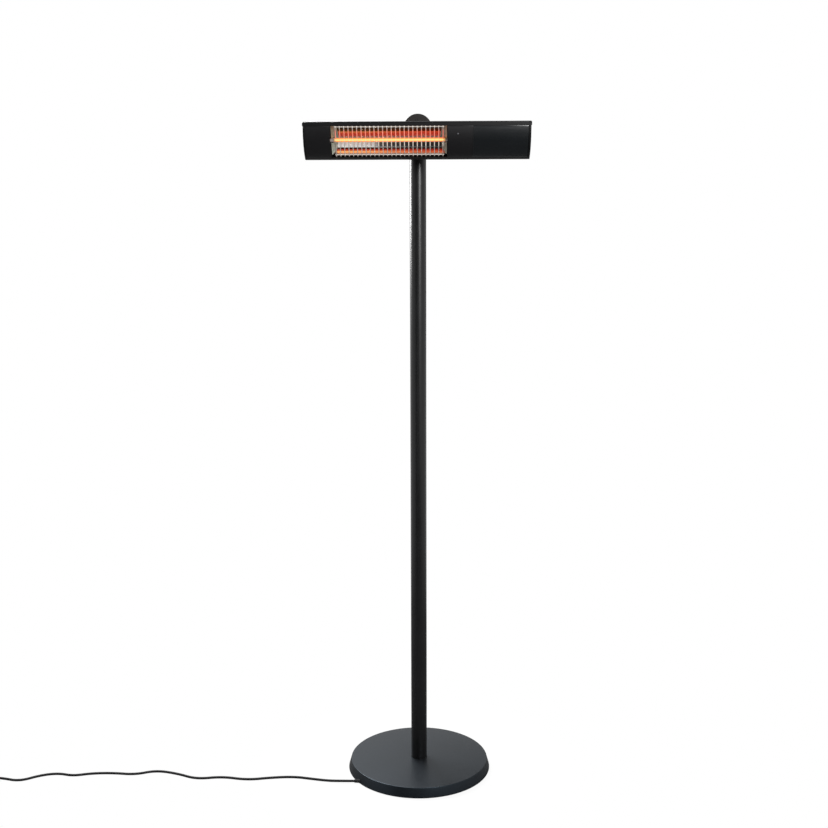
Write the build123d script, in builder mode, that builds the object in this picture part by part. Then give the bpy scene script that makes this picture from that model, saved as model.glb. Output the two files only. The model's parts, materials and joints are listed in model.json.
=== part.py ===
"""Infrared patio heater on a tall pole: a heavy round base, one straight pole and a tilting
head with a quartz lamp behind a wire guard.

Millimetres, +Z up. The origin is on the floor below the middle of the pole, and the heater
faces -Y. Pieces of the head are drawn across it, on planes whose x points forward and whose
y points up along its face, or on its front plane, whose x runs along the head.
"""

from build123d import *
import math
import os

# ---------------------------------------------------------------- driving dimensions
seat_gap = 0.3            # round or loose pieces of one body lie this far apart
running_gap = 0.05        # radial clearance of a shaft in its bore
screw_sides = 12          # screws and their holes have this many sides
lead_sides = 8            # so has a lead or cord that lies in straight runs and bends
thin_sides = 6            # and a thin wire, a pillar or the wound cord

# base
base_radius = 203.5
base_rim_run = 7.3        # how far the sloping rim steps in towards the top
base_height = 29.0
base_skirt_height = 3.5   # upright lowest part of the rim
cover_wall = 1.5
cover_floor_gap = 2.0
cover_edge = 1.2
foot_height = 4.0
foot_radius = 13.0
foot_count = 6
foot_circle_radius = 160.0
weight_room = 12.7        # the weight's edge, inside the edge of the cover's top
flange_radius = 55.0
flange_thickness = 5.0
flange_bore_radius = 10.0
flange_screw_circle = 40.0
flange_screw_count = 4
flange_screw_radius = 4.0
flange_screw_length = 16.0
flange_head_radius = 6.5
flange_head_height = 2.5

# pole
pole_radius = 22.4
pole_wall = 1.5
spigot_length = 60.0
pole_head_flat = 14.0     # the flat that carries the disc, this far in front of the axis
pole_screw_radius = 2.5
pole_screw_drop = 22.0
pole_screw_length = 8.0

# disc and tilt joint
disc_radius = 38.0
disc_thickness = 5.0
disc_screw_radius = 3.0
disc_screw_offset = 19.0
disc_screw_length = 20.0
fork_plate_height = 52.0
fork_plate_thickness = 5.0
fork_ear_thickness = 5.0
fork_ear_radius = 14.0
pivot_forward = 60.0      # the tilt axis, in front of the pole's axis
pivot_height = 1804.3
disc_rise = 2.2           # middle of the disc above the tilt axis
pole_top_drop = 42.5      # top of the pole's tube below the middle of the disc
pole_head_rise = 27.5     # top of the pole's head above it
tilt_angle = 30.0         # the face looks this far below level
barrel_radius = 13.0
barrel_half_length = 20.0
bush_radius = 6.5
bush_bore_radius = 4.0
bush_end = 8.0            # the bush ends this far left of the middle
bush_rim_radius = 9.0
bush_rim_thickness = 2.0
pivot_bolt_radius = 4.0
pivot_bolt_reach = 10.5   # the bolt ends this far right of the middle
washer_thickness = 1.5
lug_plate_length = 68.0
lug_plate_height = 29.0
lug_plate_thickness = 4.0
lug_screw_x = 28.0
lug_screw_v = 7.0
lug_screw_radius = 2.5

# head
head_length = 582.0
head_height = 104.0
face_radius = 83.0        # the rounded face
face_corner = 84.0        # its upper and lower corners, in front of the tilt axis
head_back = 22.0          # the back, in front of the tilt axis
head_back_height = 44.0
head_top_depth = 3.5      # level part of the top, behind the corner
back_corner_radius = 12.0
housing_wall = 1.8
lip_upper = 43.7          # lower edge of the upper lip, above the middle of the face
lip_lower = -42.7         # upper edge of the lower lip
rib_height = 2.5
rib_width = 2.0
rib_pitch = 6.0
rib_count = 3
cap_thickness = 5.5
cap_ledge = 1.5           # the cap's upper edge stands this proud
cap_ledge_height = 8.0
cap_screw_radius = 1.75
cap_screw_length = 22.0
cap_screw_spots = ((27.5, 15.0), (27.5, -15.0), (66.0, 39.0), (66.0, -39.0))
screw_boss_radius = 4.2
panel_thickness = 1.6
panel_tongue = 1.4        # the panel's edge behind the lips
panel_tongue_height = 48.0
window_left = -222.0
window_right = 78.0
cover_left = 144.3        # the glossy control cover starts here
cover_gap = 1.2

# reflector and lamp
mirror_sheet = 0.8
mirror_mouth = 77.0       # its front edge, in front of the tilt axis
mirror_wing = (60.0, 28.0)      # corner between its wing and its shoulder
mirror_shoulder = (57.0, 16.0)  # corner between its shoulder and its rounded back
mirror_back = 55.0              # middle of its rounded back
mirror_half_mouth = 40.0
mirror_end_slope = 16.0   # the end walls lean in by this much towards the back
mirror_bracket_width = 24.0
mirror_bracket_height = 16.0
mirror_bracket_sheet = 1.5
mirror_bracket_offset = 125.0
lamp_forward = 72.0
lamp_rise = -2.0
lamp_radius = 5.0
lamp_wall = 1.0
lamp_middle = -71.0
lamp_length = 316.0
lamp_hole_gap = 2.0
filament_radius = 1.2
filament_length = 286.0
lamp_cap_radius = 6.0
lamp_cap_length = 14.0
holder_length = 12.0
holder_height = 20.0
holder_depth = 18.0
holder_foot_sheet = 1.5
holder_foot_height = 16.0
holder_web_drop = 4.0     # its web below the lamp, clear of the supply lead

# wire guard
guard_wire_radius = 1.1
guard_rod_radius = 1.3
guard_wire_count = 26
guard_pitch = 11.04
guard_forward = 84.0
guard_rod_height = 38.0
guard_rod_sink = 1.8      # the rods are welded this far behind the wires' middles
guard_bend = 2.5
guard_hook_end = 74.0
guard_rod_overhang = 3.0

# electrics
divider_x = 131.0
divider_sheet = 1.5
board_length = 92.0
board_end_gap = 23.0      # between the board and the end of the head
board_height = 56.0
board_thickness = 1.6
board_forward = 44.0
pillar_radius = 3.0
pillar_inset = 6.0
pillar_spacing = 14.0
relay_length = 22.0
relay_height = 16.0
relay_depth = 15.0
terminal_gap = 6.0        # between the terminal block and the board
terminal_length = 20.0
terminal_height = 20.0
terminal_depth = 18.0
lens_x = 105.0
lens_rise = 25.5
lens_radius = 2.5
lens_length = 9.0
sensor_board_length = 30.0
sensor_board_height = 18.0
sensor_board_thickness = 1.2
lamp_lead_radius = 1.25
lamp_lead_back = 38.0
lamp_lead_rise = 25.0

# switch
switch_forward = 58.0
switch_flange_height = 23.0
switch_flange_depth = 15.0
switch_flange_thickness = 1.2
switch_body_height = 19.2
switch_body_depth = 12.6
switch_body_length = 18.0
rocker_height = 16.6
rocker_depth = 9.4
rocker_thickness = 5.0
rocker_gap = 0.6
rocker_angle = 11.0
rocker_sink = 1.0         # the rocking axis, inside the cap's face
rocker_rise = 3.0         # middle of the rocker's face, outside the rocking axis
rocker_pin_radius = 1.2

# supply lead, cord and plug
lead_radius = 3.5
lead_room = 1.5           # radial room of the lead in a drilled passage
lead_floor = 6.4          # height of the lead's middle inside the base
lead_bend = 28.0
lead_loop = 33.0          # bend of the open loop beside the tilt joint
lead_loop_reach = 64.0
head_lead_bend = 13.0
head_lead_height = 7.5    # the lead's middle above the inside of the head's back
lead_offset_x = 8.0       # the lead's place in the pole head
lead_offset_y = 7.0
lead_pocket_reach = 15.0
channel_width = 14.0
channel_roof = 15.0
channel_run = 35.0        # from the strain relief to the channel's bend
exit_y = -113.0
relief_length = 37.0
relief_reach = 11.3       # how far its nose stands outside the base's rim
relief_inner_radius = 6.0
relief_nose_radius = 4.6
relief_collar_length = 6.0
relief_notch_gap = 0.8
grommet_lip_radius = 7.5
grommet_lip = 2.0
grommet_depth = 4.0
cord_radius = 3.5
cord_floor = 3.6          # height of the cord's middle on the floor
coil_x = -1316.0
coil_entry_y = -97.0
coil_outer_radius = 75.6
coil_half_pitch = 4.6
coil_layer = 7.8
coil_section_width = 6.2  # a square with the area of the round cord
coil_inward_turns = 2     # half turns in each direction
coil_end = 8.0
coil_lift = 6.0
plug_front_radius = 18.0
plug_floor_gap = 0.1
plug_body_length = 38.0
plug_relief_length = 34.0
plug_relief_radius = 6.4
plug_neck_radius = 12.0
plug_swell = 1.5
plug_flare = 8.0
plug_head_length = 9.0
plug_pin_radius = 2.4
plug_pin_length = 19.0
plug_pin_spacing = 19.0

os.makedirs("parts", exist_ok=True)
sides = (-1, 1)

# ---------------------------------------------------------------- frames of the head
tilt = math.radians(tilt_angle)
forward = Vector(0, -math.cos(tilt), -math.sin(tilt))
upward = Vector(0, -math.sin(tilt), math.cos(tilt))
leftward = (-1, 0, 0)
pivot = Vector(0, -pivot_forward, pivot_height)


def across(x):
    """Plane across the head at x: its x points forward, its y up the face, its normal left."""
    return Plane(origin=pivot + Vector(x, 0, 0), x_dir=forward, z_dir=(-1, 0, 0))


def facing(depth):
    """Plane square to the way the head looks: its x runs along the head, its y up the face."""
    return Plane(origin=pivot + forward * depth, x_dir=(1, 0, 0), z_dir=forward)


def head_point(x, rise, depth):
    """A point of the head, along it, up its face and in front of the tilt axis."""
    return pivot + Vector(x, 0, 0) + upward * rise + forward * depth


half_height = head_height / 2
half_length = head_length / 2
board_right = half_length - board_end_gap
board_left = board_right - board_length
terminal_right = board_left - terminal_gap
terminal_left = terminal_right - terminal_length
face_centre = face_corner - math.sqrt(face_radius**2 - half_height**2)
cap_inner = half_length - cap_thickness
housing_low, housing_high = -cap_inner, cap_inner
back_inside = head_back + housing_wall
disc_centre = pivot_height + disc_rise
pole_top = disc_centre - pole_top_drop
pole_head_top = disc_centre + pole_head_rise


def save(part, name):
    part.label = name
    export_step(part, f"parts/{name}.step")


# ---------------------------------------------------------------- base
cover_under = base_height - cover_wall
base_top_radius = base_radius - base_rim_run
weight_radius = base_top_radius - weight_room
pole_hole_radius = pole_radius + seat_gap
notch_radius = relief_inner_radius + relief_notch_gap
relief_outer_x = -math.sqrt(base_radius**2 - exit_y**2) - relief_reach
relief_inner_x = relief_outer_x + relief_length

with BuildPart() as base_cover:
    with BuildSketch(Plane.XZ):
        with BuildLine():
            Polyline(
                (pole_hole_radius, base_height),
                (base_top_radius, base_height),
                (base_radius, base_skirt_height),
                (base_radius, cover_floor_gap),
            )
            offset(amount=cover_wall, side=Side.RIGHT)
        make_face()
    revolve(axis=Axis.Z)
    top_edge = base_cover.edges().filter_by(GeomType.CIRCLE)
    top_edge = [e for e in top_edge if abs(e.radius - base_top_radius) < 0.01]
    chamfer(top_edge, cover_edge)
    with BuildSketch(Plane.YZ.offset(relief_outer_x - cover_wall)):
        with Locations((exit_y, lead_floor)):
            Circle(notch_radius)
            Rectangle(2 * notch_radius, lead_floor, align=(Align.CENTER, Align.MAX))
    extrude(amount=relief_inner_x - relief_outer_x, mode=Mode.SUBTRACT)
save(base_cover.part, "base_cover")

channel_bend = (relief_inner_x + channel_run, exit_y)
with BuildPart() as base_weight:
    with BuildSketch(Plane.XY.offset(foot_height)):
        RegularPolygon(weight_radius, 4 * screw_sides)
    extrude(amount=cover_under - foot_height)
    with BuildSketch(Plane.XY.offset(cover_under - flange_thickness)):
        Circle(flange_radius + seat_gap)
    extrude(amount=flange_thickness, mode=Mode.SUBTRACT)
    with BuildSketch(Plane.XY.offset(foot_height)):
        Circle(lead_bend - channel_width / 4)
    extrude(amount=cover_under, mode=Mode.SUBTRACT)
    with BuildSketch(Plane.XY.offset(foot_height)):
        with BuildLine():
            Polyline((-weight_radius, exit_y), channel_bend, (0, 0))
        trace(line_width=channel_width)
    extrude(amount=channel_roof - foot_height, mode=Mode.SUBTRACT)
    with BuildSketch(Plane.XY.offset(cover_under - flange_thickness)):
        with PolarLocations(flange_screw_circle, flange_screw_count):
            RegularPolygon(flange_screw_radius + seat_gap, screw_sides)
    extrude(amount=-(flange_screw_length - flange_thickness), mode=Mode.SUBTRACT)
save(base_weight.part, "base_weight")

with BuildPart() as base_feet:
    with BuildSketch():
        with PolarLocations(foot_circle_radius, foot_count):
            RegularPolygon(foot_radius, 2 * screw_sides)
    extrude(amount=foot_height)
save(base_feet.part, "base_feet")

spigot_radius = pole_radius - pole_wall - seat_gap
with BuildPart() as pole_flange:
    with BuildSketch(Plane.XY.offset(cover_under - flange_thickness)):
        Circle(flange_radius)
        Circle(flange_bore_radius, mode=Mode.SUBTRACT)
    extrude(amount=flange_thickness)
    with BuildSketch(Plane.XY.offset(cover_under)):
        Circle(spigot_radius)
        Circle(flange_bore_radius, mode=Mode.SUBTRACT)
    extrude(amount=spigot_length)
    for reach, depth in (
        (flange_head_radius, flange_head_height),
        (flange_screw_radius, flange_thickness),
    ):
        with BuildSketch(Plane.XY.offset(cover_under)):
            with PolarLocations(flange_screw_circle, flange_screw_count):
                RegularPolygon(reach + seat_gap, screw_sides)
        extrude(amount=-depth, mode=Mode.SUBTRACT)
save(pole_flange.part, "pole_flange")

with BuildPart() as flange_screws:
    with BuildSketch(Plane.XY.offset(cover_under)):
        with PolarLocations(flange_screw_circle, flange_screw_count):
            RegularPolygon(flange_head_radius, screw_sides)
    extrude(amount=-flange_head_height)
    with BuildSketch(Plane.XY.offset(cover_under)):
        with PolarLocations(flange_screw_circle, flange_screw_count):
            RegularPolygon(flange_screw_radius, screw_sides)
    extrude(amount=-flange_screw_length)
    with BuildSketch(Plane.XY.offset(cover_under)):
        with PolarLocations(flange_screw_circle, flange_screw_count):
            RegularPolygon(flange_screw_radius * 0.6, 6)
    extrude(amount=-flange_head_height / 2, mode=Mode.SUBTRACT)
save(flange_screws.part, "flange_screws")



def tapered(plane, steps, side_count):
    """Bar along a plane's normal, with flat sides: its steps are (start, end, radius, radius)."""
    angles = [2 * math.pi * (i + 0.5) / side_count for i in range(side_count)]
    bar = Part()
    for start, end, first, last in steps:
        rings = []
        for place, flat_radius in ((start, first), (end, last)):
            reach = flat_radius / math.cos(math.pi / side_count)
            rings.append(
                [
                    plane.from_local_coords((reach * math.cos(a), reach * math.sin(a), place))
                    for a in angles
                ]
            )
        outlines = list(rings)
        for i in range(side_count):
            outlines.append([rings[0][i - 1], rings[0][i], rings[1][i], rings[1][i - 1]])
        sides_and_ends = [Face(Wire.make_polygon(outline)) for outline in outlines]
        bar += Part(Solid(Shell(sides_and_ends)).wrapped)
    return bar


relief_start = Plane(
    origin=(relief_inner_x, exit_y, lead_floor), x_dir=(0, 0, 1), z_dir=leftward
)
cord_relief = tapered(
    relief_start,
    [
        (0, relief_collar_length, relief_inner_radius, relief_inner_radius),
        (relief_collar_length, relief_length, relief_inner_radius, relief_nose_radius),
    ],
    screw_sides,
)
save(cord_relief, "cord_relief")

# ---------------------------------------------------------------- pole
with BuildPart() as pole:
    with BuildSketch(Plane.XY.offset(cover_under)):
        Circle(pole_radius)
        Circle(pole_radius - pole_wall, mode=Mode.SUBTRACT)
    extrude(amount=pole_top - cover_under)
    with BuildSketch(Plane.XZ):
        with Locations((0, pole_top - pole_screw_drop)):
            RegularPolygon(pole_screw_radius + seat_gap, screw_sides)
    extrude(amount=-2 * pole_radius, mode=Mode.SUBTRACT)
save(pole.part, "pole")

lead_port_radius = lead_radius + lead_room
with BuildPart() as pole_head:
    with BuildSketch(Plane.XY.offset(pole_top - spigot_length)):
        Circle(spigot_radius)
    extrude(amount=spigot_length)
    with BuildSketch(Plane.XY.offset(pole_top)):
        Circle(pole_radius)
        with Locations((0, -pole_head_flat)):
            Rectangle(
                2 * pole_radius, pole_radius, align=(Align.CENTER, Align.MAX), mode=Mode.SUBTRACT
            )
    extrude(amount=pole_head_top - pole_top)
    chamfer(pole_head.edges().group_by(Axis.Z)[-1], 2.0)
    with BuildSketch(Plane.XY.offset(pole_top - spigot_length)):
        with Locations((lead_offset_x, lead_offset_y)):
            Circle(lead_port_radius)
    extrude(amount=disc_centre - lead_bend - pole_top + spigot_length, mode=Mode.SUBTRACT)
    # the cored pocket in which the lead turns to the left
    with BuildSketch(Plane.XY.offset(disc_centre - lead_bend - lead_port_radius)):
        with Locations((lead_offset_x + lead_port_radius, lead_offset_y)):
            Rectangle(
                lead_offset_x + lead_port_radius + lead_pocket_reach,
                2 * lead_port_radius,
                align=(Align.MAX, Align.CENTER),
            )
    extrude(amount=lead_bend + 2 * lead_port_radius, mode=Mode.SUBTRACT)
    with BuildSketch(Plane.YZ):
        with Locations((lead_offset_y, disc_centre)):
            Circle(lead_port_radius)
    extrude(amount=-2 * pole_radius, mode=Mode.SUBTRACT)
    with BuildSketch(Plane.YZ.offset(grommet_depth / 2 - pole_radius + grommet_lip)):
        with Locations((lead_offset_y, disc_centre)):
            Circle(grommet_lip_radius + seat_gap)
    extrude(amount=-pole_radius, mode=Mode.SUBTRACT)
    with BuildSketch(Plane.XZ.offset(pole_head_flat)):
        with Locations((0, disc_centre - disc_screw_offset), (0, disc_centre + disc_screw_offset)):
            RegularPolygon(disc_screw_radius + seat_gap, screw_sides)
    extrude(amount=disc_thickness + fork_plate_thickness - disc_screw_length, mode=Mode.SUBTRACT)
    with BuildSketch(Plane.XZ.offset(-pole_radius)):
        with Locations((0, pole_top - pole_screw_drop)):
            RegularPolygon(pole_screw_radius + seat_gap, screw_sides)
    extrude(amount=pole_screw_length, mode=Mode.SUBTRACT)
save(pole_head.part, "pole_head")

with BuildPart() as pole_screw:
    with BuildSketch(Plane.XZ.offset(-pole_radius)):
        with Locations((0, pole_top - pole_screw_drop)):
            RegularPolygon(pole_screw_radius, screw_sides)
    extrude(amount=pole_screw_length - seat_gap)
    with BuildSketch(Plane.XZ.offset(-pole_radius)):
        with Locations((0, pole_top - pole_screw_drop)):
            RegularPolygon(2 * pole_screw_radius, screw_sides)
    extrude(amount=-pole_screw_radius, taper=20)
save(pole_screw.part, "pole_screw")

grommet_seat = grommet_depth / 2 - pole_radius + grommet_lip
with BuildPart() as lead_grommet:
    with BuildSketch(Plane.YZ.offset(grommet_seat)):
        with Locations((lead_offset_y, disc_centre)):
            RegularPolygon(grommet_lip_radius, screw_sides)
    extrude(amount=-grommet_lip)
    chamfer(lead_grommet.edges().group_by(Axis.X)[0], grommet_lip / 2)
    with BuildSketch(Plane.YZ.offset(grommet_seat)):
        with Locations((lead_offset_y, disc_centre)):
            Circle(lead_radius + seat_gap)
    extrude(amount=grommet_depth, both=True, mode=Mode.SUBTRACT)
save(lead_grommet.part, "lead_grommet")

# ---------------------------------------------------------------- disc and tilt joint
disc_back = Plane.XZ.offset(pole_head_flat)
disc_front = disc_back.offset(disc_thickness)
fork_front = disc_front.offset(fork_plate_thickness)
disc_screw_spots = [
    (0, disc_centre - disc_screw_offset),
    (0, disc_centre + disc_screw_offset),
]

with BuildPart() as mount_disc:
    with BuildSketch(disc_back):
        with Locations((0, disc_centre)):
            Circle(disc_radius)
        with Locations(*disc_screw_spots):
            RegularPolygon(disc_screw_radius + seat_gap, screw_sides, mode=Mode.SUBTRACT)
    extrude(amount=disc_thickness)
    rims = mount_disc.edges().filter_by(GeomType.CIRCLE)
    chamfer([e for e in rims if e.center().Y < disc_back.offset(1).origin.Y], 1.0)
save(mount_disc.part, "mount_disc")

ear_inner = barrel_half_length + seat_gap
ear_outer = ear_inner + fork_ear_thickness
fork_base_y = -(pole_head_flat + disc_thickness + fork_plate_thickness)
with BuildPart() as tilt_fork:
    with BuildSketch(disc_front):
        with Locations((0, disc_centre)):
            Rectangle(2 * ear_outer, fork_plate_height)
        with Locations(*disc_screw_spots):
            RegularPolygon(disc_screw_radius + seat_gap, screw_sides, mode=Mode.SUBTRACT)
    extrude(amount=fork_plate_thickness)
    for side in sides:
        with BuildSketch(Plane.YZ.offset(side * ear_inner)):
            with Locations((-pivot_forward, pivot_height)):
                Circle(fork_ear_radius)
                Rectangle(
                    pivot_forward + fork_base_y,
                    2 * fork_ear_radius,
                    align=(Align.MIN, Align.CENTER),
                )
        extrude(amount=side * fork_ear_thickness)
    with BuildSketch(Plane.YZ.offset(-ear_outer)):
        with Locations((-pivot_forward, pivot_height)):
            Circle(bush_radius + running_gap)
    extrude(amount=fork_ear_thickness, mode=Mode.SUBTRACT)
    with BuildSketch(Plane.YZ.offset(ear_outer)):
        with Locations((-pivot_forward, pivot_height)):
            Circle(pivot_bolt_radius + running_gap)
    extrude(amount=-fork_ear_thickness, mode=Mode.SUBTRACT)
save(tilt_fork.part, "tilt_fork")

with BuildPart() as disc_screws:
    with BuildSketch(fork_front):
        with Locations(*disc_screw_spots):
            RegularPolygon(disc_screw_radius, screw_sides)
    extrude(amount=seat_gap - disc_screw_length)
    with BuildSketch(fork_front):
        with Locations(*disc_screw_spots):
            RegularPolygon(1.7 * disc_screw_radius, screw_sides)
    extrude(amount=disc_screw_radius)
    with BuildSketch(fork_front.offset(disc_screw_radius)):
        with Locations(*disc_screw_spots):
            RegularPolygon(disc_screw_radius * 0.8, 6)
    extrude(amount=-disc_screw_radius / 2, mode=Mode.SUBTRACT)
save(disc_screws.part, "disc_screws")

with BuildPart() as pivot_bush:
    with BuildSketch(Plane.YZ.offset(-ear_outer)):
        with Locations((-pivot_forward, pivot_height)):
            Circle(bush_radius)
    extrude(amount=ear_outer - bush_end)
    with BuildSketch(Plane.YZ.offset(-ear_outer)):
        with Locations((-pivot_forward, pivot_height)):
            Circle(bush_rim_radius)
    extrude(amount=-bush_rim_thickness)
    with BuildSketch(Plane.YZ.offset(-ear_outer - bush_rim_thickness)):
        with Locations((-pivot_forward, pivot_height)):
            Circle(bush_bore_radius)
    extrude(amount=ear_outer, mode=Mode.SUBTRACT)
save(pivot_bush.part, "pivot_bush")

elbow_x = head_lead_bend - bush_end
with BuildPart() as tilt_barrel:
    with BuildSketch(across(barrel_half_length)):
        Circle(barrel_radius)
        Rectangle(
            head_back - lug_plate_thickness,
            1.5 * barrel_radius,
            align=(Align.MIN, Align.CENTER),
        )
    extrude(amount=2 * barrel_half_length)
    with BuildSketch(facing(head_back - lug_plate_thickness)):
        Rectangle(lug_plate_length, lug_plate_height)
    extrude(amount=lug_plate_thickness)
    with BuildSketch(across(-barrel_half_length)):
        Circle(bush_radius + running_gap)
    extrude(amount=bush_end - seat_gap - barrel_half_length, mode=Mode.SUBTRACT)
    # the cored pocket in which the lead turns into the head
    with BuildSketch(across(elbow_x + lead_port_radius)):
        Rectangle(2 * head_back, 2 * lead_port_radius, align=(Align.MIN, Align.CENTER))
        Circle(lead_port_radius)
    extrude(amount=elbow_x + lead_port_radius + bush_end + seat_gap, mode=Mode.SUBTRACT)
    with BuildSketch(across(barrel_half_length)):
        Circle(pivot_bolt_radius + running_gap)
    extrude(amount=barrel_half_length - pivot_bolt_reach, mode=Mode.SUBTRACT)
    with BuildSketch(facing(head_back - lug_plate_thickness)):
        with GridLocations(2 * lug_screw_x, 2 * lug_screw_v, 2, 2):
            RegularPolygon(lug_screw_radius + seat_gap, screw_sides)
    extrude(amount=lug_plate_thickness, mode=Mode.SUBTRACT)
save(tilt_barrel.part, "tilt_barrel")

with BuildPart() as pivot_bolt:
    with BuildSketch(across(ear_outer + washer_thickness)):
        Circle(pivot_bolt_radius)
    extrude(amount=ear_outer + washer_thickness - pivot_bolt_reach)
    with BuildSketch(across(ear_outer + washer_thickness)):
        RegularPolygon(1.6 * pivot_bolt_radius, 6)
    extrude(amount=-1.3 * pivot_bolt_radius)
save(pivot_bolt.part, "pivot_bolt")

with BuildPart() as friction_washer:
    with BuildSketch(across(ear_outer + washer_thickness)):
        RegularPolygon(2.2 * pivot_bolt_radius, 2 * screw_sides)
        Circle(pivot_bolt_radius + running_gap, mode=Mode.SUBTRACT)
    extrude(amount=washer_thickness)
save(friction_washer.part, "friction_washer")

# ---------------------------------------------------------------- head housing
back_slope_top = face_corner - head_top_depth
outline = [
    (face_corner, half_height),
    (back_slope_top, half_height),
    (head_back, head_back_height / 2),
    (head_back, -head_back_height / 2),
    (back_slope_top, -half_height),
    (face_corner, -half_height),
]


def face_band(x, outer, inner, low, high):
    """Slice of the rounded face on the plane across x, between two radii and two heights."""
    with BuildSketch(across(x)) as band:
        with Locations((face_centre, 0)):
            Circle(outer)
            Circle(inner, mode=Mode.SUBTRACT)
        with Locations((face_centre, (low + high) / 2)):
            Rectangle(
                2 * outer, high - low, align=(Align.MIN, Align.CENTER), mode=Mode.INTERSECT
            )
    return band.sketch


def head_section(x, shrink=0.0):
    """The closed outline of the head on the plane across x, drawn in by shrink."""
    with BuildSketch(across(x)) as section:
        with BuildLine():
            FilletPolyline(*outline, radius=[0.01 + back_corner_radius] * 4)
            RadiusArc(outline[-1], outline[0], -face_radius)
        make_face()
        if shrink:
            offset(amount=-shrink, kind=Kind.INTERSECTION)
    return section.sketch


slope_run = back_slope_top - head_back
slope_rise = half_height - head_back_height / 2
slope_angle = math.degrees(math.atan2(slope_rise, slope_run))
rib_spots = []
for side in sides:
    for i in range(rib_count):
        along = (i - (rib_count - 1) / 2) * rib_pitch / math.hypot(slope_run, slope_rise) + 0.5
        rib_spots.append((head_back + along * slope_run, side * (half_height - (1 - along) * slope_rise)))

with BuildPart() as housing:
    extrude(head_section(housing_high), amount=housing_high - housing_low, dir=leftward)
    for i, spot in enumerate(rib_spots):
        turn = slope_angle if i < rib_count else -slope_angle
        with BuildSketch(across(housing_high)):
            with Locations(Location((*spot, 0), (0, 0, -turn))):
                Rectangle(2 * housing_wall, rib_width)
        extrude(amount=housing_high - housing_low)
    extrude(
        head_section(housing_high, housing_wall),
        amount=housing_high - housing_low,
        dir=leftward,
        mode=Mode.SUBTRACT,
    )
    with BuildSketch(across(housing_high)):
        with Locations((face_corner - 2 * housing_wall, (lip_upper + lip_lower) / 2)):
            Rectangle(face_radius, lip_upper - lip_lower, align=(Align.MIN, Align.CENTER))
    extrude(amount=housing_high - housing_low, mode=Mode.SUBTRACT)
    with BuildSketch(across(housing_high)):
        with Locations(*cap_screw_spots):
            RegularPolygon(screw_boss_radius, screw_sides)
    extrude(amount=housing_high - housing_low)
    with BuildSketch(across(housing_high)):
        with Locations(*cap_screw_spots):
            RegularPolygon(cap_screw_radius + seat_gap, screw_sides)
    extrude(amount=housing_high - housing_low, mode=Mode.SUBTRACT)
    with BuildSketch(facing(head_back)):
        with GridLocations(2 * lug_screw_x, 2 * lug_screw_v, 2, 2):
            RegularPolygon(lug_screw_radius + seat_gap, screw_sides)
        with Locations((elbow_x, 0)):
            Circle(lead_port_radius)
    extrude(amount=2 * housing_wall, mode=Mode.SUBTRACT)
save(housing.part, "housing")

with BuildPart() as lug_screws:
    with BuildSketch(facing(head_back - lug_plate_thickness)):
        with GridLocations(2 * lug_screw_x, 2 * lug_screw_v, 2, 2):
            RegularPolygon(lug_screw_radius, screw_sides)
    extrude(amount=lug_plate_thickness + 3 * housing_wall)
    with BuildSketch(facing(head_back - lug_plate_thickness)):
        with GridLocations(2 * lug_screw_x, 2 * lug_screw_v, 2, 2):
            RegularPolygon(1.8 * lug_screw_radius, screw_sides)
    extrude(amount=-lug_screw_radius)
save(lug_screws.part, "lug_screws")

tongue_outer = face_radius - housing_wall - seat_gap
panel_inner = tongue_outer - panel_tongue


def front_panel(left, right):
    """A panel of the rounded face: its skin fills the lips' gap, its edges go behind the lips."""
    with BuildPart() as panel:
        skin = face_band(
            right, face_radius, panel_inner, lip_lower + seat_gap, lip_upper - seat_gap
        )
        tongue = face_band(
            right, tongue_outer, panel_inner, -panel_tongue_height, panel_tongue_height
        )
        extrude(skin, amount=right - left, dir=leftward)
        extrude(tongue, amount=right - left, dir=leftward)
    return panel.part


save(front_panel(housing_low + seat_gap, window_left), "front_panel_left")

lens_angle = math.degrees(math.asin(lens_rise / face_radius))
lens_way = forward * math.cos(math.radians(lens_angle)) + upward * math.sin(
    math.radians(lens_angle)
)


def lens_plane(radius):
    """Plane through the lens's axis line at a radius of the rounded face, facing outwards."""
    return Plane(
        origin=head_point(lens_x, 0, face_centre) + lens_way * radius,
        x_dir=(1, 0, 0),
        z_dir=lens_way,
    )


with BuildPart() as front_panel_right:
    add(front_panel(window_right, cover_left - seat_gap))
    with BuildSketch(lens_plane(face_radius + 1)):
        Circle(lens_radius + seat_gap)
    extrude(amount=-3 * lens_radius, mode=Mode.SUBTRACT)
save(front_panel_right.part, "front_panel_right")

cover_right = housing_high - cover_gap
save(front_panel(cover_left, cover_right), "control_cover")

with BuildPart() as status_lens:
    with BuildSketch(lens_plane(face_radius - lens_length)):
        Circle(lens_radius)
    extrude(amount=lens_length)
    chamfer(status_lens.faces().sort_by(Axis.Y)[0].edges(), lens_radius / 3)
save(status_lens.part, "status_lens")

with BuildPart() as sensor_board:
    with BuildSketch(lens_plane(face_radius - lens_length - sensor_board_thickness)):
        Rectangle(sensor_board_length, sensor_board_height)
    extrude(amount=sensor_board_thickness)
    with BuildSketch(lens_plane(face_radius - lens_length)):
        with GridLocations(sensor_board_length - 6, 1, 2, 1):
            RegularPolygon(2.0, thin_sides)
    extrude(amount=lens_length - (face_radius - panel_inner) - seat_gap)
save(sensor_board.part, "sensor_board")

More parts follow.
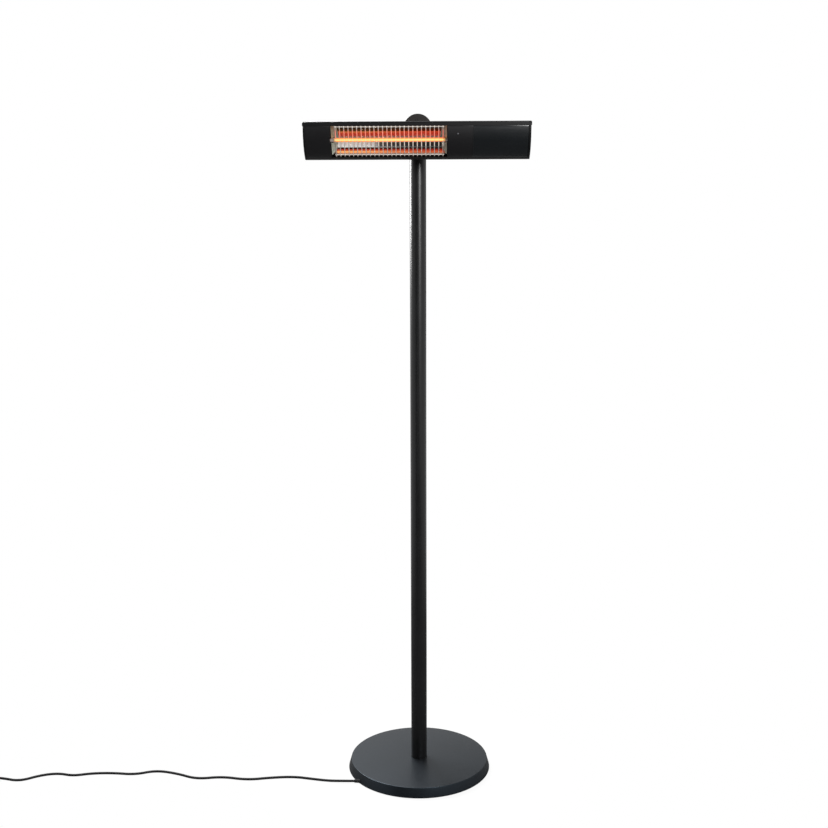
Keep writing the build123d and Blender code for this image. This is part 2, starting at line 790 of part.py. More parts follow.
# ---------------------------------------------------------------- end caps and their screws
def end_cap(side):
    """Moulded cap on one end of the head, with a ledge along its upper front edge."""
    outer = side * half_length
    with BuildPart() as cap:
        extrude(
            head_section(max(outer, side * cap_inner)), amount=cap_thickness, dir=leftward
        )
        ledge = face_band(
            max(outer, outer + side * cap_ledge),
            face_radius,
            face_radius - 2 * housing_wall,
            half_height - cap_ledge_height,
            half_height - cap_ledge,
        )
        extrude(ledge, amount=cap_ledge, dir=leftward)
        with BuildSketch(across(side * cap_inner)):
            with Locations(*cap_screw_spots):
                RegularPolygon(cap_screw_radius + seat_gap, screw_sides)
        extrude(amount=-side * cap_thickness, mode=Mode.SUBTRACT)
    return cap.part


save(end_cap(-1), "end_cap_left")

with BuildPart() as end_cap_right:
    add(end_cap(1))
    with BuildSketch(across(half_length)):
        with Locations((switch_forward, 0)):
            Rectangle(switch_body_depth + 2 * seat_gap, switch_body_height + 2 * seat_gap)
    extrude(amount=cap_thickness, mode=Mode.SUBTRACT)
save(end_cap_right.part, "end_cap_right")

with BuildPart() as end_cap_screws:
    for side in sides:
        with BuildSketch(across(side * half_length)):
            with Locations(*cap_screw_spots):
                RegularPolygon(cap_screw_radius, lead_sides)
        extrude(amount=side * cap_screw_length)
        with BuildSketch(across(side * half_length)):
            with Locations(*cap_screw_spots):
                RegularPolygon(1.8 * cap_screw_radius, lead_sides)
        extrude(amount=-side * 0.6 * cap_screw_radius)
save(end_cap_screws.part, "end_cap_screws")

# ---------------------------------------------------------------- reflector
mirror_upper = [(mirror_mouth, mirror_half_mouth), mirror_wing, mirror_shoulder]
mirror_lower = [(u, -v) for u, v in reversed(mirror_upper)]
slope_per_depth = mirror_end_slope / (mirror_mouth - mirror_back)
mirror_reach = mirror_mouth + mirror_sheet


def mirror_curve():
    """The reflector's section: wing, shoulder, rounded back, shoulder, wing."""
    Polyline(*mirror_upper)
    ThreePointArc(mirror_upper[-1], (mirror_back, 0), mirror_lower[0])
    Polyline(*mirror_lower)


def mirror_end_x(side, depth, clear=0.0):
    """Where an end wall's inner face lies along the head, at a depth."""
    lean = (mirror_mouth - depth) * slope_per_depth
    edge = window_right - clear if side > 0 else window_left + clear
    return edge - side * lean


def lean_slab(side, clear, thick):
    """Slanted slab of an end wall, drawn on the head's level plane."""
    level = Plane(origin=pivot, x_dir=(1, 0, 0), z_dir=upward)
    near, far = mirror_back - 5, mirror_reach + 5
    with BuildSketch(level) as slab:
        with BuildLine():
            Polyline(
                (mirror_end_x(side, near, clear), -near),
                (mirror_end_x(side, far, clear), -far),
                (mirror_end_x(side, far, clear) + side * thick, -far),
                (mirror_end_x(side, near, clear) + side * thick, -near),
                close=True,
            )
        make_face()
    return slab.sketch


mirror_clear = 2.0        # the end walls start this far inside the window's edges
with BuildPart() as reflector:
    with BuildSketch(across(window_right)):
        with BuildLine():
            mirror_curve()
            offset(amount=mirror_sheet, side=Side.RIGHT)
        make_face()
    extrude(amount=window_right - window_left)
    for side in sides:
        slab = lean_slab(side, mirror_clear + seat_gap, 4 * mirror_end_slope)
        extrude(slab, amount=head_height, both=True, mode=Mode.SUBTRACT)
save(reflector.part, "reflector")


def mirror_end(side):
    """Slanted end wall of the reflector, with a hole for the lamp."""
    with BuildPart() as wall:
        with BuildSketch(across(window_right)):
            with BuildLine():
                mirror_curve()
                Line(mirror_lower[-1], mirror_upper[0])
            make_face()
            offset(amount=mirror_sheet, kind=Kind.INTERSECTION)
            with Locations((lamp_forward, lamp_rise)):
                RegularPolygon(lamp_radius + lamp_hole_gap, 2 * screw_sides, mode=Mode.SUBTRACT)
        extrude(amount=window_right - window_left)
        slab = lean_slab(side, mirror_clear, mirror_sheet)
        extrude(slab, amount=head_height, both=True, mode=Mode.INTERSECT)
    return wall.part


save(mirror_end(-1), "reflector_end_left")
save(mirror_end(1), "reflector_end_right")

bracket_outer = mirror_back - mirror_sheet
bracket_middles = (lamp_middle - mirror_bracket_offset, lamp_middle + mirror_bracket_offset)
with BuildPart() as reflector_brackets:
    for middle in bracket_middles:
        with BuildSketch(across(middle + mirror_bracket_width / 2)):
            with Locations(((bracket_outer + back_inside) / 2, 0)):
                Rectangle(bracket_outer - back_inside, mirror_bracket_height)
                Rectangle(
                    bracket_outer - back_inside,
                    mirror_bracket_height - 2 * mirror_bracket_sheet,
                    mode=Mode.SUBTRACT,
                )
            for end in (back_inside, bracket_outer - mirror_bracket_sheet):
                with Locations((end, 0)):
                    Rectangle(
                        mirror_bracket_sheet,
                        mirror_bracket_height,
                        align=(Align.MIN, Align.CENTER),
                    )
        extrude(amount=mirror_bracket_width)
save(reflector_brackets.part, "reflector_brackets")

# ---------------------------------------------------------------- lamp and its holders
lamp_left = lamp_middle - lamp_length / 2
lamp_right = lamp_middle + lamp_length / 2


def lamp_rod(x, radius, length, sides=0):
    """Bar along the lamp's axis that ends at x and runs left by its length, round or with sides."""
    with BuildPart() as bar:
        with BuildSketch(across(x)):
            with Locations((lamp_forward, lamp_rise)):
                if sides:
                    RegularPolygon(radius, sides)
                else:
                    Circle(radius)
        extrude(amount=length)
    return bar.part


with BuildPart() as lamp_tube:
    add(lamp_rod(lamp_right, lamp_radius, lamp_length))
    add(lamp_rod(lamp_right, lamp_radius - lamp_wall, lamp_length), mode=Mode.SUBTRACT)
save(lamp_tube.part, "lamp_tube")

with BuildPart() as lamp_filament:
    add(lamp_rod(lamp_right, filament_radius, lamp_length, thin_sides))
    for i in range(5):
        spot = lamp_middle + (i - 2) * filament_length / 5
        add(lamp_rod(spot, lamp_radius - lamp_wall - seat_gap, lamp_wall, screw_sides))
save(lamp_filament.part, "lamp_filament")

with BuildPart() as lamp_caps:
    add(lamp_rod(lamp_left, lamp_cap_radius, lamp_cap_length))
    add(lamp_rod(lamp_right + lamp_cap_length, lamp_cap_radius, lamp_cap_length))
    for side in sides:
        cap_end = lamp_middle + side * (lamp_length / 2 + lamp_cap_length)
        add(lamp_rod(max(cap_end, cap_end + side * 2), 2.0, 2.0, screw_sides))
save(lamp_caps.part, "lamp_caps")


def lamp_holder(side):
    """Ceramic block round a lamp cap, open to the front, so that the lamp lifts out."""
    outer = lamp_middle + side * (lamp_length / 2 + lamp_cap_length + 2 + seat_gap + 3)
    inner = outer - side * (holder_length + 5)
    with BuildPart() as holder:
        with BuildSketch(across(max(outer, inner))):
            with Locations((lamp_forward - 2, lamp_rise)):
                Rectangle(holder_depth, holder_height)
        extrude(amount=abs(outer - inner))
        with BuildSketch(across(max(outer - side * 3, inner))):
            with Locations((lamp_forward, lamp_rise)):
                Circle(lamp_cap_radius + seat_gap)
                Rectangle(
                    holder_depth,
                    2 * (lamp_cap_radius + seat_gap),
                    align=(Align.MIN, Align.CENTER),
                )
        extrude(amount=abs(outer - side * 3 - inner), mode=Mode.SUBTRACT)
    return holder.part, (outer + inner) / 2


holder_left, holder_left_x = lamp_holder(-1)
holder_right, holder_right_x = lamp_holder(1)
save(holder_left, "lamp_holder_left")
save(holder_right, "lamp_holder_right")

holder_back = lamp_forward - 2 - holder_depth / 2
with BuildPart() as holder_brackets:
    for middle in (holder_left_x, holder_right_x):
        with BuildSketch(across(middle + holder_length / 2)):
            with Locations((back_inside, lamp_rise)):
                Rectangle(
                    holder_foot_sheet, holder_foot_height, align=(Align.MIN, Align.CENTER)
                )
            with Locations((back_inside, lamp_rise - holder_web_drop)):
                Rectangle(
                    holder_back - back_inside,
                    holder_foot_sheet,
                    align=(Align.MIN, Align.CENTER),
                )
            with Locations((holder_back, lamp_rise)):
                Rectangle(
                    holder_foot_sheet, holder_height, align=(Align.MAX, Align.CENTER)
                )
        extrude(amount=holder_length)
save(holder_brackets.part, "holder_brackets")

# ---------------------------------------------------------------- wire guard
hook_height = mirror_half_mouth + mirror_sheet + seat_gap + guard_wire_radius
first_wire = lamp_middle - (guard_wire_count - 1) / 2 * guard_pitch
last_wire = first_wire + (guard_wire_count - 1) * guard_pitch
hook_corner = guard_forward - guard_bend
with BuildPart() as guard_wire:
    with BuildLine() as wire_path:
        Polyline(
            head_point(0, hook_height, guard_hook_end),
            head_point(0, hook_height, hook_corner),
            head_point(0, hook_height - guard_bend, guard_forward),
            head_point(0, guard_bend - hook_height, guard_forward),
            head_point(0, -hook_height, hook_corner),
            head_point(0, -hook_height, guard_hook_end),
        )
    with BuildSketch(Plane(origin=head_point(0, hook_height, guard_hook_end), z_dir=forward)):
        RegularPolygon(guard_wire_radius, 4)
    sweep(path=wire_path.line, transition=Transition.RIGHT)

with BuildPart() as wire_guard:
    for i in range(guard_wire_count):
        add(Pos(first_wire + i * guard_pitch, 0, 0) * guard_wire.part)
    for side in sides:
        with BuildSketch(across(last_wire + guard_rod_overhang)):
            with Locations((guard_forward - guard_rod_sink, side * guard_rod_height)):
                RegularPolygon(guard_rod_radius, thin_sides)
        extrude(amount=last_wire - first_wire + 2 * guard_rod_overhang)
save(wire_guard.part, "wire_guard")

# ---------------------------------------------------------------- electrics
lead_depth = back_inside + head_lead_height
with BuildPart() as divider_plate:
    plate = head_section(divider_x, housing_wall + seat_gap)
    extrude(plate, amount=divider_sheet, dir=leftward)
    with BuildSketch(across(divider_x)):
        with Locations((face_centre, 0)):
            Circle(2 * face_radius)
            Circle(panel_inner - seat_gap, mode=Mode.SUBTRACT)
    extrude(amount=divider_sheet, mode=Mode.SUBTRACT)
    with BuildSketch(across(divider_x)):
        with Locations(*cap_screw_spots):
            RegularPolygon(screw_boss_radius + 2 * seat_gap, screw_sides)
        with Locations((lead_depth, 0)):
            RegularPolygon(lead_port_radius, screw_sides)
    extrude(amount=divider_sheet, mode=Mode.SUBTRACT)
save(divider_plate.part, "divider_plate")

board_middle = (board_left + board_right) / 2
with BuildPart() as control_board:
    with BuildSketch(facing(board_forward)):
        with Locations((board_middle, 0)):
            Rectangle(board_length, board_height)
    extrude(amount=board_thickness)
save(control_board.part, "control_board")

with BuildPart() as board_pillars:
    with BuildSketch(facing(back_inside)):
        with Locations((board_middle, 0)):
            with GridLocations(board_length - 2 * pillar_inset, pillar_spacing, 2, 2):
                RegularPolygon(pillar_radius, thin_sides)
    extrude(amount=board_forward - back_inside)
save(board_pillars.part, "board_pillars")

with BuildPart() as relay:
    with BuildSketch(facing(board_forward + board_thickness)):
        with Locations((board_middle, 0)):
            Rectangle(relay_length, relay_height)
    extrude(amount=relay_depth)
    chamfer(relay.faces().sort_by(Axis.Y)[0].edges(), 0.8)
save(relay.part, "relay")

with BuildPart() as terminal_block:
    with BuildSketch(facing(back_inside)):
        with Locations(((terminal_left + terminal_right) / 2, 0)):
            Rectangle(terminal_right - terminal_left, terminal_height)
    extrude(amount=terminal_depth)
    with BuildSketch(facing(back_inside + terminal_depth)):
        with Locations(((terminal_left + terminal_right) / 2, 0)):
            with GridLocations(1, terminal_height / 3, 1, 3):
                RegularPolygon(3.0, screw_sides)
    extrude(amount=-3.0, mode=Mode.SUBTRACT)
save(terminal_block.part, "terminal_block")

with BuildPart() as head_lead:
    with BuildLine() as head_lead_path:
        FilletPolyline(
            head_point(-bush_end, 0, 0),
            head_point(elbow_x, 0, 0),
            head_point(elbow_x, 0, lead_depth),
            head_point(terminal_left, 0, lead_depth),
            radius=[head_lead_bend - 0.5, head_lead_bend - 0.5],
        )
    with BuildSketch(across(-bush_end)):
        RegularPolygon(lead_radius, lead_sides)
    sweep(path=head_lead_path.line)
save(head_lead.part, "head_lead")

# two thin leads behind the reflector, from the divider to the lamp holders
with BuildPart() as lamp_leads:
    for side, end_x in ((-1, holder_left_x), (1, holder_right_x)):
        with BuildLine() as thin_path:
            FilletPolyline(
                head_point(divider_x - divider_sheet - seat_gap, side * lamp_lead_rise, lamp_lead_back),
                head_point(end_x, side * lamp_lead_rise, lamp_lead_back),
                head_point(end_x, side * lamp_lead_rise, lamp_forward - 10),
                head_point(end_x, lamp_rise + side * holder_height / 2, lamp_forward - 10),
                radius=4.0,
            )
        with BuildSketch(across(divider_x - divider_sheet - seat_gap)):
            with Locations((lamp_lead_back, side * lamp_lead_rise)):
                RegularPolygon(lamp_lead_radius, thin_sides)
        sweep(path=thin_path.line)
save(lamp_leads.part, "lamp_leads")

# ---------------------------------------------------------------- switch
with BuildPart() as switch_body:
    with BuildSketch(across(half_length + switch_flange_thickness)):
        with Locations((switch_forward, 0)):
            Rectangle(switch_flange_depth, switch_flange_height)
    extrude(amount=switch_flange_thickness)
    with BuildSketch(across(half_length)):
        with Locations((switch_forward, 0)):
            Rectangle(switch_body_depth, switch_body_height)
    extrude(amount=switch_body_length)
    with BuildSketch(across(half_length + switch_flange_thickness)):
        with Locations((switch_forward, 0)):
            Rectangle(rocker_depth + rocker_gap, rocker_height + 2 * rocker_gap)
    extrude(amount=2 * rocker_thickness, mode=Mode.SUBTRACT)
    rocking_axis = Plane(
        origin=head_point(half_length - rocker_sink, 0, switch_forward),
        x_dir=(1, 0, 0),
        z_dir=forward,
    )
    with BuildSketch(rocking_axis):
        Circle(rocker_pin_radius + running_gap)
    extrude(amount=switch_body_depth / 2, both=True, mode=Mode.SUBTRACT)
save(switch_body.part, "switch_body")

with BuildPart() as rocker:
    with BuildSketch(rocking_axis.offset(-rocker_depth / 2)):
        with Locations(Location((0, 0, 0), (0, 0, rocker_angle))):
            with Locations((rocker_rise, 0)):
                Rectangle(rocker_thickness, rocker_height, align=(Align.MAX, Align.CENTER))
    extrude(amount=rocker_depth)
    chamfer(rocker.edges().filter_by(Axis(pivot, forward)), 0.6)
    with BuildSketch(rocking_axis):
        Circle(rocker_pin_radius)
    extrude(amount=switch_body_depth / 2 - running_gap, both=True)
save(rocker.part, "rocker")

# ---------------------------------------------------------------- supply lead inside the stand
def tube_along(points, bends, radius):
    """Tube along straight runs joined by tangent arcs, one bend radius a corner."""
    with BuildPart() as tube:
        with BuildLine() as path:
            FilletPolyline(*points, radius=bends)
        with BuildSketch(Plane(origin=path.line @ 0, z_dir=path.line % 0)) as section:
            RegularPolygon(radius, lead_sides)
        sweep(path=path.line)
    length = path.wires()[0].length
    ratio = tube.part.volume / (section.sketch.area * length)
    print("tube", round(length), "mm, volume ratio", round(ratio, 4))
    return tube.part


lead_points = [
    (relief_inner_x, exit_y, lead_floor),
    (*channel_bend, lead_floor),
    (0, 0, lead_floor),
    (lead_offset_x, lead_offset_y, disc_centre - lead_bend),
    (lead_offset_x, lead_offset_y, disc_centre),
    (-lead_loop_reach, lead_offset_y, disc_centre),
    (-lead_loop_reach, -pivot_forward, pivot_height),
    (-bush_end, -pivot_forward, pivot_height),
]
lead_bends = [lead_bend, lead_bend, lead_bend, 0.99 * lead_bend, lead_loop, lead_loop]
pole_lead = tube_along(lead_points, lead_bends, lead_radius)
save(pole_lead, "pole_lead")

# ---------------------------------------------------------------- free cord on the floor
cord_points = [
    (relief_outer_x, exit_y, lead_floor),
    (-212, exit_y, lead_floor),
    (-254, -107, cord_floor),
    (-300, -97, cord_floor),
    (-354, -84, cord_floor),
    (-418, -90, cord_floor),
    (-486, -105, cord_floor),
    (-560, -86, cord_floor),
    (-630, -102, cord_floor),
    (-692, -69, cord_floor),
    (-758, -51, cord_floor),
    (-812, -77, cord_floor),
    (-876, -68, cord_floor),
    (-938, -71, cord_floor),
    (-988, -87, cord_floor),
    (-1032, -72, cord_floor),
    (-1080, -84, cord_floor),
    (-1128, -121, cord_floor),
    (-1182, -104, cord_floor),
    (-1232, coil_entry_y, cord_floor),
    (coil_x + coil_end, coil_entry_y, cord_floor),
]


def corner_bends(points):
    """The largest bend that each corner's two runs allow."""
    bends = []
    for before, corner, after in zip(points, points[1:], points[2:]):
        into = Vector(*corner) - Vector(*before)
        out = Vector(*after) - Vector(*corner)
        turn = math.radians(into.get_angle(out))
        bends.append(0.45 * min(into.length, out.length) / math.tan(turn / 2))
    return bends


cord_bends = corner_bends(cord_points)
cord = tube_along(cord_points, cord_bends, cord_radius)
save(cord, "cord")
print("cord bends", [round(b) for b in cord_bends])

# the coil: half turns that step inwards, climb one layer, and step outwards again
coil_radii = [coil_outer_radius - i * coil_half_pitch for i in range(coil_inward_turns + 1)]
coil_radii += list(reversed(coil_radii))[: coil_inward_turns]
coil_heights = [cord_floor] * (coil_inward_turns + 1) + [cord_floor + coil_layer] * coil_inward_turns
coil_y = coil_entry_y + coil_outer_radius
plug_length = plug_relief_length + plug_body_length
tail_height = coil_heights[-1]
plug_slope = math.asin(
    (plug_front_radius + plug_floor_gap - tail_height)
    / (plug_length - plug_head_length + coil_end + coil_lift / 2)
)
slope_way = Vector(-math.cos(plug_slope), 0, math.sin(plug_slope))


def coil_point(i):
    side = -1 if i % 2 == 0 else 1
    return Vector(coil_x, coil_y + side * coil_radii[i], coil_heights[i])


with BuildPart() as cord_coil:
    with BuildLine() as coil_path:
        Line(coil_point(0) + Vector(coil_end, 0, 0), coil_point(0))
        for i in range(len(coil_radii) - 1):
            start, end = coil_point(i), coil_point(i + 1)
            way = Vector(-1 if i % 2 == 0 else 1, 0, 0)
            middle = (start + end) * 0.5 + way * ((end - start).length / 2)
            TangentArc(start, middle, tangent=way)
            TangentArc(middle, end, tangent=coil_path.line % 1)
        last = coil_point(len(coil_radii) - 1)
        lift_end = last + Vector(-coil_lift / 2, 0, 0) + slope_way * (coil_lift / 2)
        TangentArc(last, lift_end, tangent=(-1, 0, 0))
        Line(lift_end, lift_end + slope_way * coil_end)
    with BuildSketch(Plane(origin=coil_path.line @ 0, z_dir=coil_path.line % 0)) as coil_section:
        Rectangle(coil_section_width, coil_section_width)
    sweep(path=coil_path.line)
save(cord_coil.part, "cord_coil")
coil_length = coil_path.wires()[0].length

samples = 900
coil_samples = [coil_path.line @ (i / samples) for i in range(samples + 1)]
spacing = coil_length / samples
apart = int(3 * 2 * cord_radius / spacing)
least = min(
    (coil_samples[i] - coil_samples[j]).length
    for i in range(0, samples + 1, 2)
    for j in range(i + apart, samples + 1, 2)
)
coil_ratio = cord_coil.part.volume / (coil_section.sketch.area * coil_length)
print("coil", round(coil_length), "mm, volume ratio", round(coil_ratio, 4))
print("coil least gap", round(least - 2 * cord_radius, 2), "mm")

# ---------------------------------------------------------------- plug
plug_tail = lift_end + slope_way * coil_end
plug_axis = Plane(origin=plug_tail, x_dir=(0, 1, 0), z_dir=slope_way)
plug_grip_end = plug_length - plug_head_length - plug_flare
plug_waist = plug_neck_radius + plug_swell
plug_body = tapered(
    plug_axis,
    [
        (0, plug_relief_length, relief_nose_radius, plug_relief_radius),
        (plug_relief_length, plug_grip_end, plug_neck_radius, plug_waist),
        (plug_grip_end, plug_length - plug_head_length, plug_waist, plug_front_radius),
        (plug_length - plug_head_length, plug_length, plug_front_radius, plug_front_radius),
    ],
    2 * screw_sides,
)
save(plug_body, "plug_body")

with BuildPart() as plug_pins:
    plug_face = Plane(
        origin=plug_tail + slope_way * plug_length, x_dir=(0, 1, 0), z_dir=slope_way
    )
    with BuildSketch(plug_face):
        with GridLocations(plug_pin_spacing, 1, 2, 1):
            Circle(plug_pin_radius)
    extrude(amount=plug_pin_length)
    tips = plug_pins.edges().group_by(Axis.X)[0]
    chamfer(tips, plug_pin_radius / 2)
save(plug_pins.part, "plug_pins")
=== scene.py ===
"""Looks of the infrared patio heater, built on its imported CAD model.

Metres, +Z up, origin on the floor below the middle of the pole; the heater faces -Y. Places in
the head are given along it (x), up its face (rise) and in front of the tilt axis (depth).
"""

import json
import math

import bmesh
import bpy
from bpy.props import FloatProperty, FloatVectorProperty, IntProperty, PointerProperty
from mathutils import Matrix, Vector


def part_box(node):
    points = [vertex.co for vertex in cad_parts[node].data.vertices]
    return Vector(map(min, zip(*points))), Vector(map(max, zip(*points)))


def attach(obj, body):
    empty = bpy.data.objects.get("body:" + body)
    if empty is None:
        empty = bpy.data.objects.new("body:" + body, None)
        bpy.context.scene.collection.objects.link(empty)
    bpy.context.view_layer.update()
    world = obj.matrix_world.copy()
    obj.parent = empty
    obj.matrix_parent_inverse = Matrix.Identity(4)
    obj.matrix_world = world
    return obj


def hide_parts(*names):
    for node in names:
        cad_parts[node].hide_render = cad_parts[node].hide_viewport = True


bl_info = {
    "name": "Infrared patio heater",
    "version": (1, 0, 0),
    "blender": (4, 5, 0),
    "location": "3D View > Sidebar > Heater",
    "description": "Dresses the CAD model of a patio heater on a pole with finished pieces",
    "category": "Object",
}

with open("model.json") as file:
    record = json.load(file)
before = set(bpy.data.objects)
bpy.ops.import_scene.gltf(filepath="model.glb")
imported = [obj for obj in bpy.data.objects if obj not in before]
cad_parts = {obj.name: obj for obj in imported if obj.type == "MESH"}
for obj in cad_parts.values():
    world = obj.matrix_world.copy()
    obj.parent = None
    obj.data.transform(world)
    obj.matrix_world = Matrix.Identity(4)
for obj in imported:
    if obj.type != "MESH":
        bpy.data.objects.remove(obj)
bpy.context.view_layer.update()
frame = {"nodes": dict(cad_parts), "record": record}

# ------------ places in the head
tilt = math.radians(30)
forward = Vector((0, -math.cos(tilt), -math.sin(tilt)))
upward = Vector((0, -math.sin(tilt), math.cos(tilt)))
pivot = Vector((0, -0.060, 1.8043))
# in the axes of the head x runs along it, y up its face and z forward
head_axes = Matrix.Translation(pivot) @ Matrix(
    ((1, 0, 0), tuple(upward), tuple(forward))
).transposed().to_4x4()

lamp_rise, lamp_depth = -0.002, 0.072
lens_along, lens_rise = 0.105, 0.0255
# between these places the reflector's lower strip turns from bright to a painted dark reflection
# and the wires below the lamp turn to a painted highlight of the room's white
window_split = (-0.115, -0.095)


# ------------ settings
def size_setting(name, description, default):
    return FloatProperty(name=name, description=description, default=default, unit="LENGTH")


def angle_setting(name, description, degrees):
    return FloatProperty(
        name=name, description=description, default=math.radians(degrees), subtype="ANGLE",
    )


def color_setting(name, description, default):
    return FloatVectorProperty(
        name=name, description=description, default=default, subtype="COLOR", min=0, max=1,
    )


class StageSettings(bpy.types.PropertyGroup):
    camera_place: FloatVectorProperty(
        name="Camera", description="Where the camera stands",
        default=(0.04547, -3.02906, 1.4704), subtype="TRANSLATION", unit="LENGTH",
    )
    camera_pitch: angle_setting("Looks down by", "How far the camera looks below level", 8.19)
    camera_heading: angle_setting(
        "Turned left by", "How far the camera is turned to its left", 1.09,
    )
    camera_roll: angle_setting("Roll", "How far the camera leans", -0.16)
    lens: FloatProperty(
        name="Lens", description="Focal length in millimetres on a 36 mm wide frame",
        default=47.83, min=20, max=200,
    )
    room_light: FloatProperty(
        name="Room light", description="Strength of the even light of the room",
        default=0.20, min=0, max=2,
    )
    floor_whiteness: FloatProperty(
        name="Floor whiteness", description="How much of the shadow on the floor is lost in white",
        default=0.93, min=0, max=1, subtype="FACTOR",
    )


class StandSettings(bpy.types.PropertyGroup):
    base_radius: size_setting("Base radius", "Outer radius of the base", 0.2035)
    base_height: size_setting("Base height", "Height of the base's top", 0.029)
    pole_radius: size_setting("Pole radius", "Outer radius of the pole", 0.0224)
    base_color: color_setting("Base paint", "Colour of the base", (0.0034, 0.0037, 0.0042))
    pole_color: color_setting("Pole paint", "Colour of the pole", (0.0048, 0.0048, 0.0052))


class HeadSettings(bpy.types.PropertyGroup):
    paint_color: color_setting("Head paint", "Colour of the housing", (0.0042, 0.0042, 0.0045))
    panel_color: color_setting(
        "Panel plastic", "Colour of the front panels", (0.0052, 0.0050, 0.0056),
    )
    edge_radius: size_setting("Edge rounding", "Rounding of the sharp edges of the shell", 0.0004)


class LampSettings(bpy.types.PropertyGroup):
    middle: size_setting("Lamp middle", "Middle of the lamp along the head", -0.071)
    radius: size_setting("Tube radius", "Outer radius of the quartz tube", 0.005)
    hot_color: color_setting(
        "Hot glow", "Colour of the glow in front of the coil", (1.0, 0.76, 0.24),
    )
    warm_color: color_setting(
        "Warm glow", "Colour of the glow at the back of the tube", (0.44, 0.021, 0.009),
    )
    glow: FloatProperty(
        name="Glow", description="Strength of the glow", default=1.15, min=0, max=10,
    )


class GuardSettings(bpy.types.PropertyGroup):
    wire_count: IntProperty(
        name="Wires", description="Number of upright wires", default=26, min=2, max=60,
    )
    pitch: size_setting("Pitch", "Distance between two wires", 0.01104)
    wire_radius: size_setting("Wire radius", "Radius of an upright wire", 0.0011)
    bend: size_setting("Bend", "Radius of the bends of a wire", 0.0035)


class CordSettings(bpy.types.PropertyGroup):
    radius: size_setting("Cord radius", "Radius of the supply cord", 0.0035)
    rubber_color: color_setting(
        "Cord rubber", "Colour of the cord and its plug", (0.006, 0.006, 0.0065),
    )


def settings(name):
    return getattr(bpy.context.scene, "heater_" + name)


# ------------ finishes
class Signal:
    """An output of a node, for use in plain arithmetic."""

    def __init__(self, network, socket):
        self.network = network
        self.socket = socket

    def twin(self, name):
        """Another output of the same node."""
        return Signal(self.network, self.socket.node.outputs[name])

    def maths(self, operation, first, second=0.0):
        return self.network.add("ShaderNodeMath", {"operation": operation}, {0: first, 1: second})

    def __add__(self, other):
        return self.maths("ADD", self, other)

    def __radd__(self, other):
        return self.maths("ADD", other, self)

    def __sub__(self, other):
        return self.maths("SUBTRACT", self, other)

    def __rsub__(self, other):
        return self.maths("SUBTRACT", other, self)

    def __mul__(self, other):
        return self.maths("MULTIPLY", self, other)

    def __rmul__(self, other):
        return self.maths("MULTIPLY", other, self)

    def __truediv__(self, other):
        return self.maths("DIVIDE", self, other)

    def __pow__(self, other):
        return self.maths("POWER", self, other)

    def __abs__(self):
        return self.maths("ABSOLUTE", self)

    def most(self, other):
        return self.maths("MAXIMUM", self, other)

    def wave(self):
        """Its sine, brought between nothing and one."""
        return self.maths("SINE", self) * 0.5 + 0.5

    def spread(self, low, high, first=0.0, last=1.0):
        """This value, where low gives first and high gives last, and never beyond them."""
        return self.network.add(
            "ShaderNodeMapRange", {"interpolation_type": "SMOOTHSTEP"},
            {"Value": self, "From Min": low, "From Max": high, "To Min": first, "To Max": last},
            output="Result",
        )

    def near(self, middle, inner, outer):
        """One up to the inner distance from a middle, and nothing beyond the outer distance."""
        return abs(self - middle).spread(inner, outer, 1.0, 0.0)


class Network:
    """The nodes of a material or of the world."""

    def __init__(self, tree):
        self.tree = tree

    def join(self, node, name, value):
        """Gives an input of a node a number, a colour or another node's output."""
        target = node.inputs[name]
        if isinstance(value, Signal):
            value = value.socket
        if isinstance(value, bpy.types.NodeSocket):
            self.tree.links.new(value, target)
        elif hasattr(value, "__len__") and len(value) == 3 and len(target.default_value) == 4:
            target.default_value = (*value, 1.0)
        else:
            target.default_value = value

    def add(self, kind, options=None, values=None, output=0):
        """A new node: its options are set first, then its inputs. Gives one of its outputs."""
        node = self.tree.nodes.new(kind)
        for name, value in (options or {}).items():
            setattr(node, name, value)
        for name, value in (values or {}).items():
            self.join(node, name, value)
        return Signal(self, node.outputs[output])

    def object_place(self):
        return self.add("ShaderNodeTexCoord", output="Object")

    def place(self, turn=(0, 0, 0), stretch=(1, 1, 1)):
        return self.add(
            "ShaderNodeMapping", {"vector_type": "POINT"},
            {"Vector": self.object_place(), "Rotation": turn, "Scale": stretch},
        )

    def axes(self, where):
        """The three parts of a place, each as a value."""
        part = self.add("ShaderNodeSeparateXYZ", values={"Vector": where})
        return [part.twin(axis) for axis in "XYZ"]

    def head_parts(self):
        """Along the head, up its face and in front of the tilt axis, each as a value."""
        return self.axes(self.add(
            "ShaderNodeMapping", {"vector_type": "TEXTURE"},
            {"Vector": self.object_place(), "Location": pivot, "Rotation": head_axes.to_euler()},
        ))

    def noise(self, scale, detail=2.0, rough=0.5, stretch=(1, 1, 1)):
        return self.add("ShaderNodeTexNoise", values={
            "Vector": self.place(stretch=stretch), "Scale": scale, "Detail": detail,
            "Roughness": rough,
        })

    def mix(self, share, first, second):
        """A colour between two."""
        return self.add(
            "ShaderNodeMix", {"data_type": "RGBA"}, {0: share, 6: first, 7: second}, output=2,
        )

    def seen(self):
        """One where the camera, gloss or glass looks, and nothing where light is gathered."""
        ray = self.add("ShaderNodeLightPath", output="Is Camera Ray")
        return ray.most(ray.twin("Is Glossy Ray")).most(ray.twin("Is Transmission Ray"))


